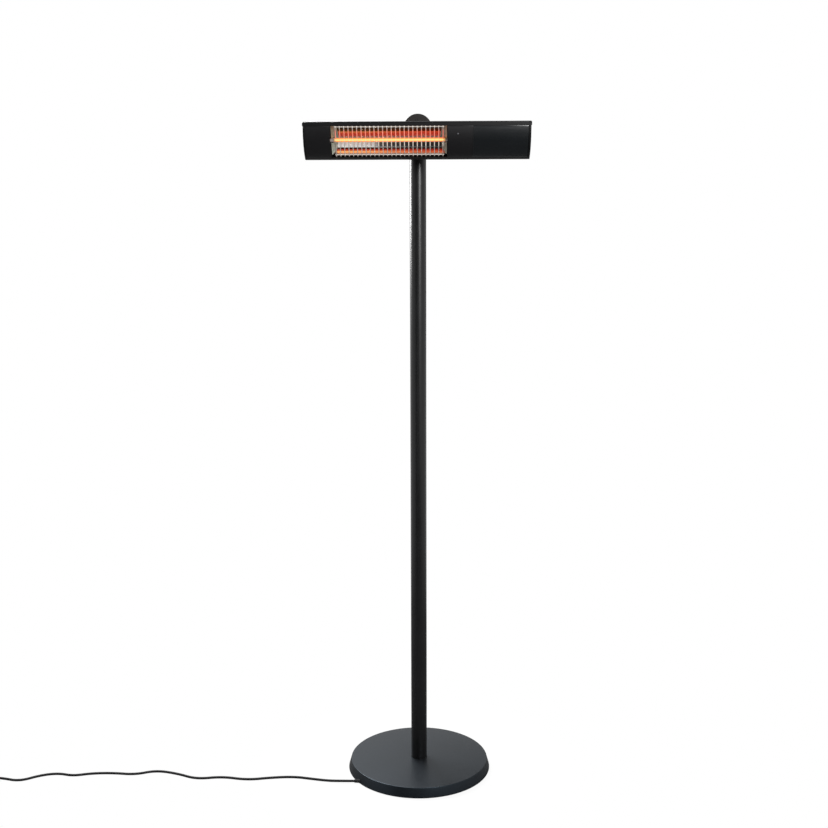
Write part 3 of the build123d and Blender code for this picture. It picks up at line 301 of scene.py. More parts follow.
class Finish(Network):
    """One material, with the shader that its nodes end in."""

    def __init__(self, name, **values):
        self.material = bpy.data.materials.new(name)
        self.material.use_nodes = True
        super().__init__(self.material.node_tree)
        self.tree.nodes.clear()
        self.output = self.tree.nodes.new("ShaderNodeOutputMaterial")
        self.shader = self.tree.nodes.new("ShaderNodeBsdfPrincipled")
        self.join(self.output, "Surface", self.shader.outputs["BSDF"])
        self.set(**values)

    def set(self, **values):
        """Sets inputs of the shader; an underscore stands for a space."""
        for name, value in values.items():
            self.join(self.shader, name.replace("_", " "), value)

    def bump(self, height, depth, strength):
        self.set(Normal=self.add("ShaderNodeBump", values={
            "Height": height, "Strength": strength, "Distance": depth,
        }))


def shaded(color, factor):
    return tuple(min(1.0, part * factor) for part in color)


def powder_coat(
    name, color, roughness, grain=1100.0, depth=0.00012, specular=0.3, sheen=(1, 1, 1),
):
    """Baked paint: fine orange peel, a slight drift in tone and gloss, a few dust specks."""
    finish = Finish(name, Specular_IOR_Level=specular, Specular_Tint=sheen)
    drift = finish.noise(9.0, 3.0)
    peel = finish.noise(grain, 3.0, 0.6)
    specks = finish.noise(420.0, 1.0).spread(0.74, 0.80)
    tone = finish.mix(drift.spread(0.3, 0.7), shaded(color, 0.86), shaded(color, 1.14))
    finish.set(
        Base_Color=finish.mix(specks * 0.35, tone, shaded(color, 3.0)),
        Roughness=roughness + (drift - 0.5) * 0.10 + (peel - 0.5) * 0.08,
    )
    finish.bump(peel, depth, 0.5)
    return finish.material


def moulded_plastic(name, color, roughness, grain=1500.0, specular=0.3):
    """Spark-eroded plastic: even fine grain with faint flow lines."""
    finish = Finish(name, Specular_IOR_Level=specular)
    grains = finish.add(
        "ShaderNodeTexVoronoi", {"feature": "SMOOTH_F1"},
        {"Vector": finish.place(), "Scale": grain}, output="Distance",
    )
    flow = finish.noise(14.0, 3.0, stretch=(0.4, 1, 1))
    finish.set(
        Base_Color=finish.mix(flow.spread(0.35, 0.65), shaded(color, 0.9), shaded(color, 1.12)),
        Roughness=roughness + (flow - 0.5) * 0.08 + (grains - 0.4) * 0.06,
    )
    finish.bump(grains, 0.00008, 0.5)
    return finish.material


def gloss_plastic(name, color):
    """Polished plastic with faint wipe marks."""
    finish = Finish(name, Specular_IOR_Level=0.26, Coat_Roughness=0.22)
    wipes = finish.noise(60.0, 4.0, 0.6, stretch=(0.15, 1, 1))
    finish.set(
        Base_Color=finish.mix(wipes, shaded(color, 0.9), shaded(color, 1.15)),
        Roughness=0.29 + wipes.spread(0.4, 0.8) * 0.08,
        Coat_Weight=0.02 + wipes * 0.06,
    )
    return finish.material


def rubber(name, color):
    """Soft black rubber with scuffs that catch the light."""
    finish = Finish(name, Specular_IOR_Level=0.15)
    scuffs = finish.noise(120.0, 5.0, 0.65)
    skin = finish.noise(1300.0, 2.0)
    finish.set(
        Base_Color=finish.mix(scuffs.spread(0.45, 0.75), color, shaded(color, 1.9)),
        Roughness=0.5 + scuffs * 0.18,
    )
    finish.bump(skin, 0.0001, 0.5)
    return finish.material


def plated_steel(name):
    """Zinc plate: blotches of crystal, turning marks and dull patches."""
    finish = Finish(name, Metallic=1.0)
    color = (0.56, 0.56, 0.55)
    crystals = finish.add(
        "ShaderNodeTexVoronoi", {"feature": "F1"}, {"Vector": finish.place(), "Scale": 300.0},
        output="Color",
    )
    blotch = finish.axes(crystals)[0]
    marks = finish.noise(900.0, 2.0, stretch=(1, 1, 0.1))
    finish.set(
        Base_Color=finish.mix(blotch, shaded(color, 0.82), shaded(color, 1.1)),
        Roughness=0.26 + blotch * 0.08 + (marks - 0.5) * 0.1,
    )
    finish.bump(marks, 0.00005, 0.4)
    return finish.material


def cast_iron(name):
    """Bare grey iron with pits and a bloom of rust."""
    finish = Finish(name, Specular_IOR_Level=0.3)
    pits = finish.noise(260.0, 6.0, 0.7)
    rust = finish.noise(22.0, 4.0).spread(0.55, 0.75)
    finish.set(
        Base_Color=finish.mix(rust * 0.5, (0.028, 0.028, 0.030), (0.085, 0.045, 0.028)),
        Roughness=0.62 + pits * 0.25, Metallic=0.35 - rust * 0.3,
    )
    finish.bump(pits, 0.0012, 0.6)
    return finish.material


def brass(name):
    """Turned brass with dark tarnish."""
    finish = Finish(name, Metallic=1.0)
    tarnish = finish.noise(90.0, 4.0)
    turning = finish.noise(1600.0, 2.0, stretch=(1, 0.2, 0.2))
    finish.set(
        Base_Color=finish.mix(tarnish.spread(0.35, 0.7), (0.72, 0.50, 0.22), (0.40, 0.25, 0.11)),
        Roughness=0.24 + tarnish * 0.2,
    )
    finish.bump(turning, 0.00004, 0.4)
    return finish.material


def ceramic(name):
    """Unglazed steatite: chalky, with pores and a brown tinge from the heat."""
    finish = Finish(name, Specular_IOR_Level=0.35)
    pores = finish.noise(700.0, 4.0, 0.6)
    scorch = finish.noise(40.0, 3.0).spread(0.45, 0.75)
    finish.set(
        Base_Color=finish.mix(scorch * 0.6, (0.66, 0.63, 0.56), (0.33, 0.26, 0.19)),
        Roughness=0.6 + pores * 0.2,
    )
    finish.bump(pores, 0.0002, 0.5)
    return finish.material


def rolled_aluminium(name):
    """Bright sheet with lines of the rolling mill along it, a straw tint where it is hottest, and
    painted shade and reflection.
    """
    finish = Finish(name, Metallic=1.0)
    along, rise, _ = finish.head_parts()
    lines = finish.noise(5.0, 3.0, 0.6, stretch=(0.8, 420, 420))
    cloud = finish.noise(26.0, 4.0)
    heat = rise.near(lamp_rise, 0.008, 0.030)
    # painted shade above the lamp and on the lowest edge to the right
    above = rise.spread(0.0130, 0.0155)
    # a painted dark reflection of the room in a strip below its right part
    strip = along.spread(*window_split) * rise.near(-0.021, 0.0050, 0.0066)
    lowest_edge_shade = along.spread(-0.16, 0.02) * rise.spread(-0.0300, -0.0270, 1.0, 0.0)
    # the painted shade and the painted dark reflection, which darken the sheet's colour
    dull = (above * 0.97).most(strip * 0.9).most(lowest_edge_shade * 0.4)
    sheet = finish.mix(cloud.spread(0.3, 0.7), (0.78, 0.78, 0.77), (0.88, 0.88, 0.87))
    straw = finish.mix(heat * (0.25 + cloud * 0.35), sheet, (0.62, 0.42, 0.30))
    finish.set(
        Base_Color=finish.mix(dull, straw, (0.035, 0.033, 0.03)),
        Roughness=0.09 + lines * 0.07 + heat * 0.05,
    )
    finish.bump(lines, 0.00004, 0.35)
    return finish.material


def brushed_wall(name):
    """The same sheet at the ends of the reflector, brushed dull, with a dark greenish reflection
    painted into its colour.
    """
    finish = Finish(name, Metallic=1.0)
    brushed = finish.noise(600.0, 3.0, stretch=(1, 0.06, 1))
    cloud = finish.noise(70.0, 3.0)
    finish.set(
        # painted reflection: the dark greenish colour of the walls
        Base_Color=finish.mix(cloud.spread(0.3, 0.7), (0.30, 0.35, 0.31), (0.42, 0.46, 0.41)),
        Roughness=0.38 + brushed * 0.14,
    )
    finish.bump(brushed, 0.00005, 0.5)
    return finish.material


def bright_wire(name):
    """Nickel-plated wire, a little yellowed by the heat, and painted with the glow of the lamp
    behind it.
    """
    finish = Finish(name, Metallic=1.0, Emission_Strength=1.0)
    along, rise, _ = finish.head_parts()
    heat = rise.near(lamp_rise, 0.004, 0.026)
    # painted glow: from the front, the lamp lies behind the lit band and its reflection behind the
    # red one
    lit = rise.near(0.0033, 0.0008, 0.0038)
    red = rise.near(0.0190, 0.0090, 0.0130)
    # painted highlight: the bends, and the right part below the lamp, glow with the white of the
    # room
    below = along.spread(*window_split) * rise.near(-0.008, 0.005, 0.0075)
    bright = abs(rise).spread(0.0345, 0.0400).most(below)
    # the painted glow of the room's white and of the red reflection
    sheen = finish.mix(
        bright, finish.mix(red * 0.8, (0.0, 0.0, 0.0), (0.80, 0.14, 0.08)), (0.40, 0.35, 0.31),
    )
    lines = finish.noise(700.0, 3.0, stretch=(1, 0.1, 0.1))
    finish.set(
        # the painted red reflection is in the colour as well as in the glow
        Base_Color=finish.mix(
            red * 0.7, finish.mix(heat * 0.45, (0.86, 0.85, 0.82), (0.74, 0.60, 0.42)),
            (0.56, 0.27, 0.20),
        ),
        Roughness=0.26 + lines * 0.12,
        Emission_Color=finish.mix(lit, sheen, (1.0, 0.42, 0.09)),
    )
    finish.bump(lines, 0.00003, 0.4)
    return finish.material


def quartz_glow(name):
    """The lit quartz tube: yellow where the coil shows through its front, deep red behind."""
    lamp = settings("lamp")
    finish = Finish(name, Specular_IOR_Level=0.25, Emission_Strength=lamp.glow)
    along, rise, depth = finish.head_parts()
    # the brightest band faces a little above the way the head looks
    lift = math.radians(20)
    front = (
        (depth - lamp_depth) * math.cos(lift) + (rise - lamp_rise) * math.sin(lift)
    ) / lamp.radius
    coil_pitch = 0.0026
    turns = (along * (2 * math.pi / coil_pitch)).wave()
    heated = along.near(lamp.middle, 0.137, 0.146)
    ripple = finish.noise(30.0, 2.0, stretch=(1, 0.1, 0.1))
    # its sides go from orange at the left end to red at the right one
    side = finish.mix(along.spread(-0.20, 0.04), (1.0, 0.50, 0.15), (0.9, 0.12, 0.035))
    glow = finish.mix(front.spread(-0.75, -0.3), lamp.warm_color, side)
    glow = finish.mix(front.spread(0.1, 0.6), glow, (0.92, 0.21, 0.03))
    core = finish.mix(front.spread(0.74, 0.96) * (1.0 - turns * 0.25), glow, lamp.hot_color)
    finish.set(
        Base_Color=finish.mix(heated, (0.30, 0.27, 0.25), (0.20, 0.05, 0.03)),
        Roughness=0.05 + ripple * 0.06,
        Emission_Color=finish.mix(heated, (0.02, 0.004, 0.002), core),
    )
    return finish.material


def hot_coil(name):
    """The glowing coil inside the tube, darker between its turns."""
    finish = Finish(name, Emission_Strength=3.0)
    along, _, _ = finish.head_parts()
    gaps = (along * 2400.0).wave() * 0.3
    finish.set(
        Base_Color=(0.2, 0.18, 0.16), Roughness=0.5,
        Emission_Color=finish.mix(gaps, (1.0, 0.62, 0.18), (1.0, 0.38, 0.06)),
    )
    return finish.material


def circuit_board(name):
    """Green solder mask over copper tracks."""
    finish = Finish(name, Specular_IOR_Level=0.5)
    tracks = finish.add(
        "ShaderNodeTexBrick", {"offset": 0.37, "squash": 1.7},
        {"Vector": finish.place(turn=(math.radians(60), 0, 0)), "Scale": 90.0,
         "Mortar Size": 0.03, "Color1": (0, 0, 0), "Color2": (0, 0, 0), "Mortar": (1, 1, 1)},
        output="Color",
    )
    track = finish.axes(tracks)[0]
    finish.set(
        Base_Color=finish.mix(track, (0.012, 0.085, 0.035), (0.05, 0.20, 0.08)),
        Roughness=0.3 + track * 0.15,
    )
    finish.bump(track, 0.00005, 0.5)
    return finish.material


def smoked_lens(name):
    """Smoked plastic, clearer in the middle of the lens than at its rim."""
    finish = Finish(name, Specular_IOR_Level=0.5)
    along, rise, _ = finish.head_parts()
    out = ((along - lens_along) ** 2.0 + (rise - lens_rise) ** 2.0) ** 0.5
    haze = finish.noise(500.0, 2.0)
    finish.set(
        Base_Color=finish.mix(out.spread(0.0008, 0.0026), (0.10, 0.10, 0.11), (0.02, 0.02, 0.02)),
        Roughness=0.05 + haze * 0.05,
    )
    return finish.material


def matt_sheet(name, grain, detail, low, high):
    """Paper or cloth of the stage, in two near greys."""
    finish = Finish(name, Roughness=0.9, Specular_IOR_Level=0.1)
    finish.set(Base_Color=finish.mix(finish.noise(grain, detail), (low,) * 3, (high,) * 3))
    return finish


finishes = {}


def make_finishes():
    """The finishes of the object, by the slot that each stands for."""
    stand, head, cord = settings("stand"), settings("head"), settings("cord")
    finishes.update(
        base_paint=powder_coat(
            "base paint", stand.base_color, roughness=0.38, specular=0.34, sheen=(0.62, 0.80, 1.0),
        ),
        weight_iron=cast_iron("cast iron"),
        foot_rubber=rubber("foot rubber", (0.018, 0.018, 0.018)),
        pole_paint=powder_coat(
            "pole paint", stand.pole_color, roughness=0.33, grain=1500.0, depth=0.00004,
        ),
        joint_paint=powder_coat("joint paint", (0.014, 0.012, 0.011), 0.48, specular=0.18),
        steel=plated_steel("zinc steel"),
        black_screw=powder_coat("blackened screw", (0.010, 0.009, 0.009), roughness=0.35),
        head_paint=powder_coat(
            "head paint", head.paint_color, roughness=0.40, grain=1400.0, depth=0.00007,
            specular=0.12,
        ),
        panel_plastic=moulded_plastic(
            "panel plastic", head.panel_color, roughness=0.46, specular=0.16,
        ),
        cover_plastic=gloss_plastic("cover plastic", (0.004, 0.005, 0.006)),
        switch_plastic=moulded_plastic(
            "switch plastic", (0.013, 0.013, 0.014), roughness=0.32, grain=1900.0,
        ),
        mirror_metal=rolled_aluminium("rolled aluminium"),
        end_wall=brushed_wall("brushed wall"),
        quartz=quartz_glow("lit quartz"),
        glow=hot_coil("hot coil"),
        holder_ceramic=ceramic("steatite"),
        guard_wire=bright_wire("bright wire"),
        board=circuit_board("circuit board"),
        lens=smoked_lens("smoked lens"),
        relay_case=moulded_plastic("relay case", (0.02, 0.025, 0.04), roughness=0.3),
        terminal_plastic=moulded_plastic("terminal plastic", (0.30, 0.32, 0.30), roughness=0.4),
        bush_brass=brass("turned brass"),
        cord_rubber=rubber("cord rubber", cord.rubber_color),
    )


# ------------ making pieces
body_of = {
    node: body for body, nodes in frame["record"]["behaviour"]["bodies"].items() for node in nodes
}

# roundings of castings, of blocks, of mouldings, of turned metal and of sheet
cast_edge, block_edge, moulded_edge, turned_edge, sheet_edge = (
    0.0006, 0.0005, 0.0004, 0.0003, 0.0002
)
weld = 1e-6     # vertices this near to each other become one


def new_object(name, form, material):
    """Makes a mesh object from a bmesh, in its place in the scene."""
    mesh = bpy.data.meshes.new(name)
    form.normal_update()
    form.to_mesh(mesh)
    form.free()
    mesh.materials.append(material)
    made = bpy.data.objects.new(name, mesh)
    bpy.context.scene.collection.objects.link(made)
    return made


def finish_piece(name, form, body, slot, nodes, smooth=35.0, finish=None):
    """Makes a mesh piece from a bmesh with the finish given, or else its slot's, puts it on its
    body and hides its CAD nodes.
    """
    piece = new_object(name, form, finishes[finish or slot])
    piece.data.shade_smooth()
    piece.data.set_sharp_from_angle(angle=math.radians(smooth))
    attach(piece, body)
    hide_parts(*nodes)
    return piece


def rounded_copies(slot, edge, *nodes, finish=None):
    """Copies of CAD nodes with their triangles joined and their sharp edges rounded."""
    flat, sharp = 0.6, 30.0     # degrees between faces that are joined, and at a sharp edge
    for node in nodes:
        form = bmesh.new()
        form.from_mesh(frame["nodes"][node].data)
        bmesh.ops.remove_doubles(form, verts=form.verts, dist=weld)
        bmesh.ops.dissolve_limit(
            form, angle_limit=math.radians(flat), verts=form.verts, edges=form.edges,
        )
        piece = finish_piece(node + ".smooth", form, body_of[node], slot, [node], sharp, finish)
        if edge:
            rounding = piece.modifiers.new("edges", "BEVEL")
            rounding.width = edge
            rounding.segments = 2
            rounding.limit_method = "ANGLE"
            rounding.angle_limit = math.radians(sharp)


def keep_nodes(slot, *nodes):
    """CAD nodes whose shape is right get the finish of their slot."""
    for node in nodes:
        mesh = frame["nodes"][node].data
        mesh.materials.clear()
        mesh.materials.append(finishes[slot])


def chain(form, points):
    """A line of vertices joined by edges."""
    verts = [form.verts.new(point) for point in points]
    return verts, [form.edges.new(pair) for pair in zip(verts, verts[1:])]


def all_of(form):
    return form.verts[:] + form.edges[:] + form.faces[:]


def only(kind, items):
    """Those of an operator's results that are of one kind, such as its vertices."""
    return [item for item in items if isinstance(item, kind)]


def turned(points, steps, closed=False):
    """A full turn of a profile, given as (radius, height), about the Z axis."""
    form = bmesh.new()
    verts, edges = chain(form, [(radius, 0, height) for radius, height in points])
    if closed:
        edges.append(form.edges.new((verts[-1], verts[0])))
    bmesh.ops.spin(
        form, geom=verts + edges, cent=(0, 0, 0), axis=(0, 0, 1), angle=2 * math.pi,
        steps=steps, use_merge=True,
    )
    bmesh.ops.remove_doubles(form, verts=form.verts, dist=weld)
    bmesh.ops.recalc_face_normals(form, faces=form.faces)
    return form


def ribs(count, start, pitch, radius, growth, section):
    """Rings around a profile: each has the section's points, as (height on it, way along)."""
    return [
        (radius + number * growth + proud, start + number * pitch + along)
        for number in range(count) for proud, along in section
    ]


def eased(points, radius, steps=4):
    """A profile with all its corners rounded, but not its two ends."""
    line = [Vector(point) for point in points]
    done = [line[0]]
    for before, corner, after in zip(line, line[1:], line[2:]):
        reach = min(radius, (before - corner).length * 0.45, (after - corner).length * 0.45)
        first = corner + (before - corner).normalized() * reach
        last = corner + (after - corner).normalized() * reach
        for step in range(steps + 1):
            share = step / steps
            done.append(first.lerp(corner, share).lerp(corner.lerp(last, share), share))
    done.append(line[-1])
    return [tuple(point) for point in done]


def place_along(form, origin, direction):
    """Moves a form that was made about the Z axis so that Z points along a direction."""
    far = Vector(direction).normalized()
    side = Vector((0, 0, 1)).cross(far).normalized()
    turn = Matrix((side, far.cross(side), far)).transposed().to_4x4()
    bmesh.ops.transform(
        form, matrix=Matrix.Translation(origin) @ turn, verts=form.verts, space=Matrix.Identity(4),
    )


def place_in_head(form):
    """Moves a form that was made in the axes of the head to the head's place."""
    bmesh.ops.transform(form, matrix=head_axes, verts=form.verts, space=Matrix.Identity(4))


# ------------ cord
# the cord's route on the floor, from the strain relief to the start of its coil
cord_route = (
    (-0.18055, -0.113, 0.0064), (-0.212, -0.113, 0.0064), (-0.254, -0.107, 0.0036),
    (-0.300, -0.097, 0.0036), (-0.354, -0.084, 0.0036), (-0.418, -0.090, 0.0036),
    (-0.486, -0.105, 0.0036), (-0.560, -0.086, 0.0036), (-0.630, -0.102, 0.0036),
    (-0.692, -0.069, 0.0036), (-0.758, -0.051, 0.0036), (-0.812, -0.077, 0.0036),
    (-0.876, -0.068, 0.0036), (-0.938, -0.071, 0.0036), (-0.988, -0.087, 0.0036),
    (-1.032, -0.072, 0.0036), (-1.080, -0.084, 0.0036), (-1.128, -0.121, 0.0036),
    (-1.182, -0.104, 0.0036), (-1.232, -0.097, 0.0036), (-1.308, -0.097, 0.0036),
)
coil_middle = Vector((-1.316, -0.0214, 0))
# radius and height at each half turn of the coil: one turn inwards, one outwards above it
coil_rings = (
    (0.0756, 0.0036), (0.0710, 0.0036), (0.0664, 0.0036), (0.0664, 0.0114), (0.0710, 0.0114),
)
coil_half_steps = 9
coil_inset = 0.988      # radius of the spline's turns over that of their points
coil_way_out = Vector((-1.316, -0.0924, 0.0114))
plug_tail = Vector((-1.329955, -0.0924, 0.012396))
plug_axis = Vector((-0.995893, 0, 0.090541))
plug_length = 0.072
cord_in_plug = 0.002
pin_offset = 0.0095


def coil_points():
    """The coil's turns, clockwise seen from above, from the side that faces the front."""
    points = []
    for half, (ring, after) in enumerate(zip(coil_rings, coil_rings[1:])):
        for step in range(coil_half_steps):
            share = step / coil_half_steps
            radius = (ring[0] * (1 - share) + after[0] * share) / coil_inset
            turn = -math.pi / 2 - math.pi * (half + share)
            points.append(coil_middle + Vector((
                radius * math.cos(turn), radius * math.sin(turn),
                ring[1] * (1 - share) + after[1] * share,
            )))
    return points


class HEATER_OT_cord(bpy.types.Operator):
    """Makes the supply cord, its strain relief and its plug"""

    bl_idname = "heater.cord"
    bl_label = "Cord and plug"

    def execute(self, context):
        radius = settings("cord").radius
        points = [Vector(point) for point in cord_route] + coil_points()
        points += [coil_way_out, plug_tail + plug_axis * cord_in_plug]
        curve = bpy.data.curves.new("cord.line", "CURVE")
        curve.dimensions = "3D"
        line = curve.splines.new("NURBS")
        line.points.add(len(points) - 1)
        for target, point in zip(line.points, points):
            target.co = (*point, 1.0)
        line.order_u = 3
        line.use_endpoint_u = True
        line.resolution_u = 8
        curve.bevel_depth = radius
        curve.bevel_resolution = 3
        curve.use_fill_caps = True
        curve.materials.append(finishes["cord_rubber"])
        cord = bpy.data.objects.new("supply_cord", curve)
        context.scene.collection.objects.link(cord)
        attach(cord, "stand")
        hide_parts("cord", "cord_coil")

        # relief with rings: thin where the cord leaves it, thick inside the base
        thin, thick, collar, end = 0.0046, 0.0060, -0.031, -0.037
        rings = ribs(
            count=6, start=-0.0025, pitch=-0.0034, radius=thin, growth=0.00016,
            section=((0, 0), (0.0003, -0.0005), (0.0003, -0.0019), (0, -0.0024)),
        )
        form = turned(
            [(0.0, 0.0), (thin, 0.0), *rings, (thick, collar), (thick, end), (0.0, end)], 48,
        )
        place_along(form, cord_route[0], (-1, 0, 0))
        finish_piece("strain_relief", form, "stand", "cord_rubber", ["cord_relief"])

        # plug: tapered tail with rings, waisted grip with ribs, round front face
        tail = ribs(
            count=6, start=0.004, pitch=0.0046, radius=0.0047, growth=0.00027,
            section=((0, 0), (0.0002, 0.0003), (0.0002, 0.0028), (-0.0006, 0.0032)),
        )
        grip = ribs(
            count=5, start=0.0375, pitch=0.0034, radius=0.01195, growth=0.00026,
            section=((0, 0), (0.0002, 0.0004), (0.0002, 0.0016), (-0.0005, 0.0020)),
        )
        face = eased(
            [(0.0133, 0.0550), (0.0155, 0.0585), (0.0178, 0.0635), (0.0180, 0.0715),
             (0.0172, plug_length), (0.0, plug_length)], 0.0012,
        )
        form = turned(
            [(0.0, 0.0), (thin, 0.0), *tail, (0.0062, 0.0338), (0.0113, 0.0342),
             (0.0118, 0.0350), *grip, *face], 64,
        )
        place_along(form, plug_tail, plug_axis)
        plug = finish_piece("plug", form, "stand", "cord_rubber", ["plug_body"])

        thick, root = 0.0024, -0.0008
        pin = eased([(thick, 0.0), (thick, 0.0165), (0.0013, 0.0184), (0.0, 0.0190)], 0.001)
        form = turned([(0.0, root), (thick, root), *pin], 32)
        bmesh.ops.translate(form, verts=form.verts, vec=(0, -pin_offset, 0))
        twin = bmesh.ops.duplicate(form, geom=all_of(form))["geom"]
        bmesh.ops.translate(form, verts=only(bmesh.types.BMVert, twin), vec=(0, 2 * pin_offset, 0))
        place_along(form, plug_tail + plug_axis * plug_length, plug_axis)
        pins = finish_piece("plug_contacts", form, "stand", "bush_brass", ["plug_pins"])
        return {"FINISHED"}


# ------------ stand
class HEATER_OT_base(bpy.types.Operator):
    """Makes the round base with its weight, feet and fixings"""

    bl_idname = "heater.base"
    bl_label = "Base"

    def execute(self, context):
        stand = settings("stand")
        radius, height = stand.base_radius, stand.base_height
        gap, wall = 0.0003, 0.0015
        hole = stand.pole_radius + gap
        # from its lower edge the rim stands up to its kerb, and then leans in up to the top
        low, kerb, lean, inner_lean, corner = 0.0021, 0.0035, 0.0073, 0.0085, 0.0016
        outer = eased(
            [(hole, height), (radius - lean, height), (radius, kerb), (radius, low)], corner, 6,
        )
        inner = [(radius - wall, low), (radius - wall, kerb),
                 (radius - inner_lean, height - wall), (hole, height - wall)]
        form = turned(outer + inner, 180, closed=True)
        finish_piece("base_shell", form, "stand", "base_paint", ["base_cover"], 40)
        keep_nodes("weight_iron", "base_weight")
        keep_nodes("foot_rubber", "base_feet")
        keep_nodes("joint_paint", "pole_flange")
        keep_nodes("steel", "flange_screws")
        return {"FINISHED"}


class HEATER_OT_pole(bpy.types.Operator):
    """Makes the pole, the casting in its top and the disc that the head hangs from"""

    bl_idname = "heater.pole"
    bl_label = "Pole and disc"

    def execute(self, context):
        radius = settings("stand").pole_radius
        low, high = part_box("pole")
        wall, edge = 0.0015, 0.0003
        form = turned(
            [(radius - wall, low.z), (radius, low.z), (radius, high.z - edge),
             (radius - edge, high.z), (radius - wall, high.z)], 96, closed=True,
        )
        finish_piece("pole_tube", form, "stand", "pole_paint", ["pole"])
        rounded_copies("joint_paint", cast_edge, "pole_head", "mount_disc")
        rounded_copies("steel", turned_edge, "disc_screws", "pole_screw", finish="black_screw")
        rounded_copies("cord_rubber", moulded_edge, "lead_grommet")
        rounded_copies("cord_rubber", 0, "pole_lead")
        return {"FINISHED"}


class HEATER_OT_tilt_joint(bpy.types.Operator):
    """Finishes the fork, barrel, bush and bolt that the head tilts on"""

    bl_idname = "heater.tilt_joint"
    bl_label = "Tilt joint"

    def execute(self, context):
        rounded_copies("joint_paint", cast_edge, "tilt_fork", "tilt_barrel")
        rounded_copies("bush_brass", turned_edge, "pivot_bush")
        rounded_copies("steel", turned_edge, "pivot_bolt")
        rounded_copies("switch_plastic", sheet_edge, "friction_washer")
        rounded_copies("steel", turned_edge, "lug_screws")
        rounded_copies("cord_rubber", 0, "head_lead")
        return {"FINISHED"}


# ------------ head
class HEATER_OT_shell(bpy.types.Operator):
    """Finishes the housing, its ends, front panels, control cover and lens"""

    bl_idname = "heater.shell"
    bl_label = "Head shell"

    def execute(self, context):
        edge = settings("head").edge_radius
        rounded_copies("head_paint", edge, "housing", "end_cap_left", "end_cap_right")
        rounded_copies("steel", turned_edge, "end_cap_screws", finish="black_screw")
        rounded_copies("panel_plastic", edge, "front_panel_left", "front_panel_right")
        # a wider rounding would catch the light along the glossy cover's lower edge
        rounded_copies("cover_plastic", edge / 4, "control_cover")
        rounded_copies("lens", turned_edge, "status_lens")
        return {"FINISHED"}


class HEATER_OT_reflector(bpy.types.Operator):
    """Makes the reflector behind the lamp"""

    bl_idname = "heater.reflector"
    bl_label = "Reflector"

    def execute(self, context):
        left, right = (corner.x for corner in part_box("reflector"))
        # depth and rise of its mouth, of the foot of its wing and of its shoulder
        mouth, wing, shoulder = (0.077, 0.040), (0.060, 0.028), (0.057, 0.016)
        # its back is an arc through both shoulders, its middle behind them by the sag
        sag, chord = 0.002, shoulder[1]
        bend = (chord ** 2 + sag ** 2) / (2 * sag)
        sheet = 0.0008
        form = bmesh.new()
        verts, _ = chain(form, [(left, rise, depth) for depth, rise in (mouth, wing, shoulder)])
        bmesh.ops.spin(
            form, geom=verts[-1:], cent=(left, 0, shoulder[0] - sag + bend), axis=(1, 0, 0),
            angle=-math.asin(chord / bend), steps=12,
        )
        bmesh.ops.mirror(
            form, geom=all_of(form), matrix=Matrix.Identity(4), merge_dist=weld, axis="Y",
        )
        grown = bmesh.ops.extrude_edge_only(form, edges=form.edges[:])["geom"]
        bmesh.ops.translate(form, verts=only(bmesh.types.BMVert, grown), vec=(right - left, 0, 0))
        bmesh.ops.recalc_face_normals(form, faces=form.faces)
        if sum(face.normal.z for face in form.faces) < 0:
            bmesh.ops.reverse_faces(form, faces=form.faces)
        bmesh.ops.solidify(form, geom=form.faces, thickness=sheet)
        place_in_head(form)
        finish_piece("reflector_sheet", form, "head", "mirror_metal", ["reflector"], 12)
        rounded_copies(
            "mirror_metal", sheet_edge, "reflector_end_left", "reflector_end_right",
            finish="end_wall",
        )
        rounded_copies("steel", sheet_edge, "reflector_brackets")
        return {"FINISHED"}


class HEATER_OT_lamp(bpy.types.Operator):
    """Makes the lit quartz lamp with its coil, end caps and holders"""

    bl_idname = "heater.lamp"
    bl_label = "Lamp"

    def execute(self, context):
        lamp = settings("lamp")
        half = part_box("lamp_tube")[1].x - lamp.middle
        # each end has a rounded edge, between a ring on its face and one on its side
        face, side, corner = 0.0012, 0.004, 0.001
        end = eased(
            [(lamp.radius - face, half), (lamp.radius, half), (lamp.radius, half - side)], corner,
        )
        form = turned(
            [(0.0, -half), *((radius, -far) for radius, far in end), (lamp.radius, 0.0),
             *reversed(end), (0.0, half)], 48,
        )
        place_along(form, head_axes @ Vector((lamp.middle, lamp_rise, lamp_depth)), (1, 0, 0))
        finish_piece("quartz_tube", form, "head", "quartz", ["lamp_tube"])
        keep_nodes("glow", "lamp_filament")
        rounded_copies("holder_ceramic", moulded_edge, "lamp_caps")
        rounded_copies("holder_ceramic", block_edge, "lamp_holder_left", "lamp_holder_right")
        rounded_copies("steel", sheet_edge, "holder_brackets")
        rounded_copies("cord_rubber", 0, "lamp_leads")
        return {"FINISHED"}


def open_edges(items):
    return [item for item in only(bmesh.types.BMEdge, items) if item.is_boundary]


def drawn(form, section, step):
    """Draws a round section out by a step, and gives its new end."""
    end = open_edges(bmesh.ops.extrude_edge_only(form, edges=section)["geom"])
    verts = list({vert for edge in end for vert in edge.verts})
    bmesh.ops.translate(form, verts=verts, vec=step)
    return end


def bent(form, section, centre):
    """Bends a round section by a quarter turn across the head, and gives its new end."""
    end = bmesh.ops.spin(
        form, geom=section, cent=centre, axis=(1, 0, 0), angle=math.pi / 2, steps=6,
    )["geom_last"]
    return only(bmesh.types.BMEdge, end)


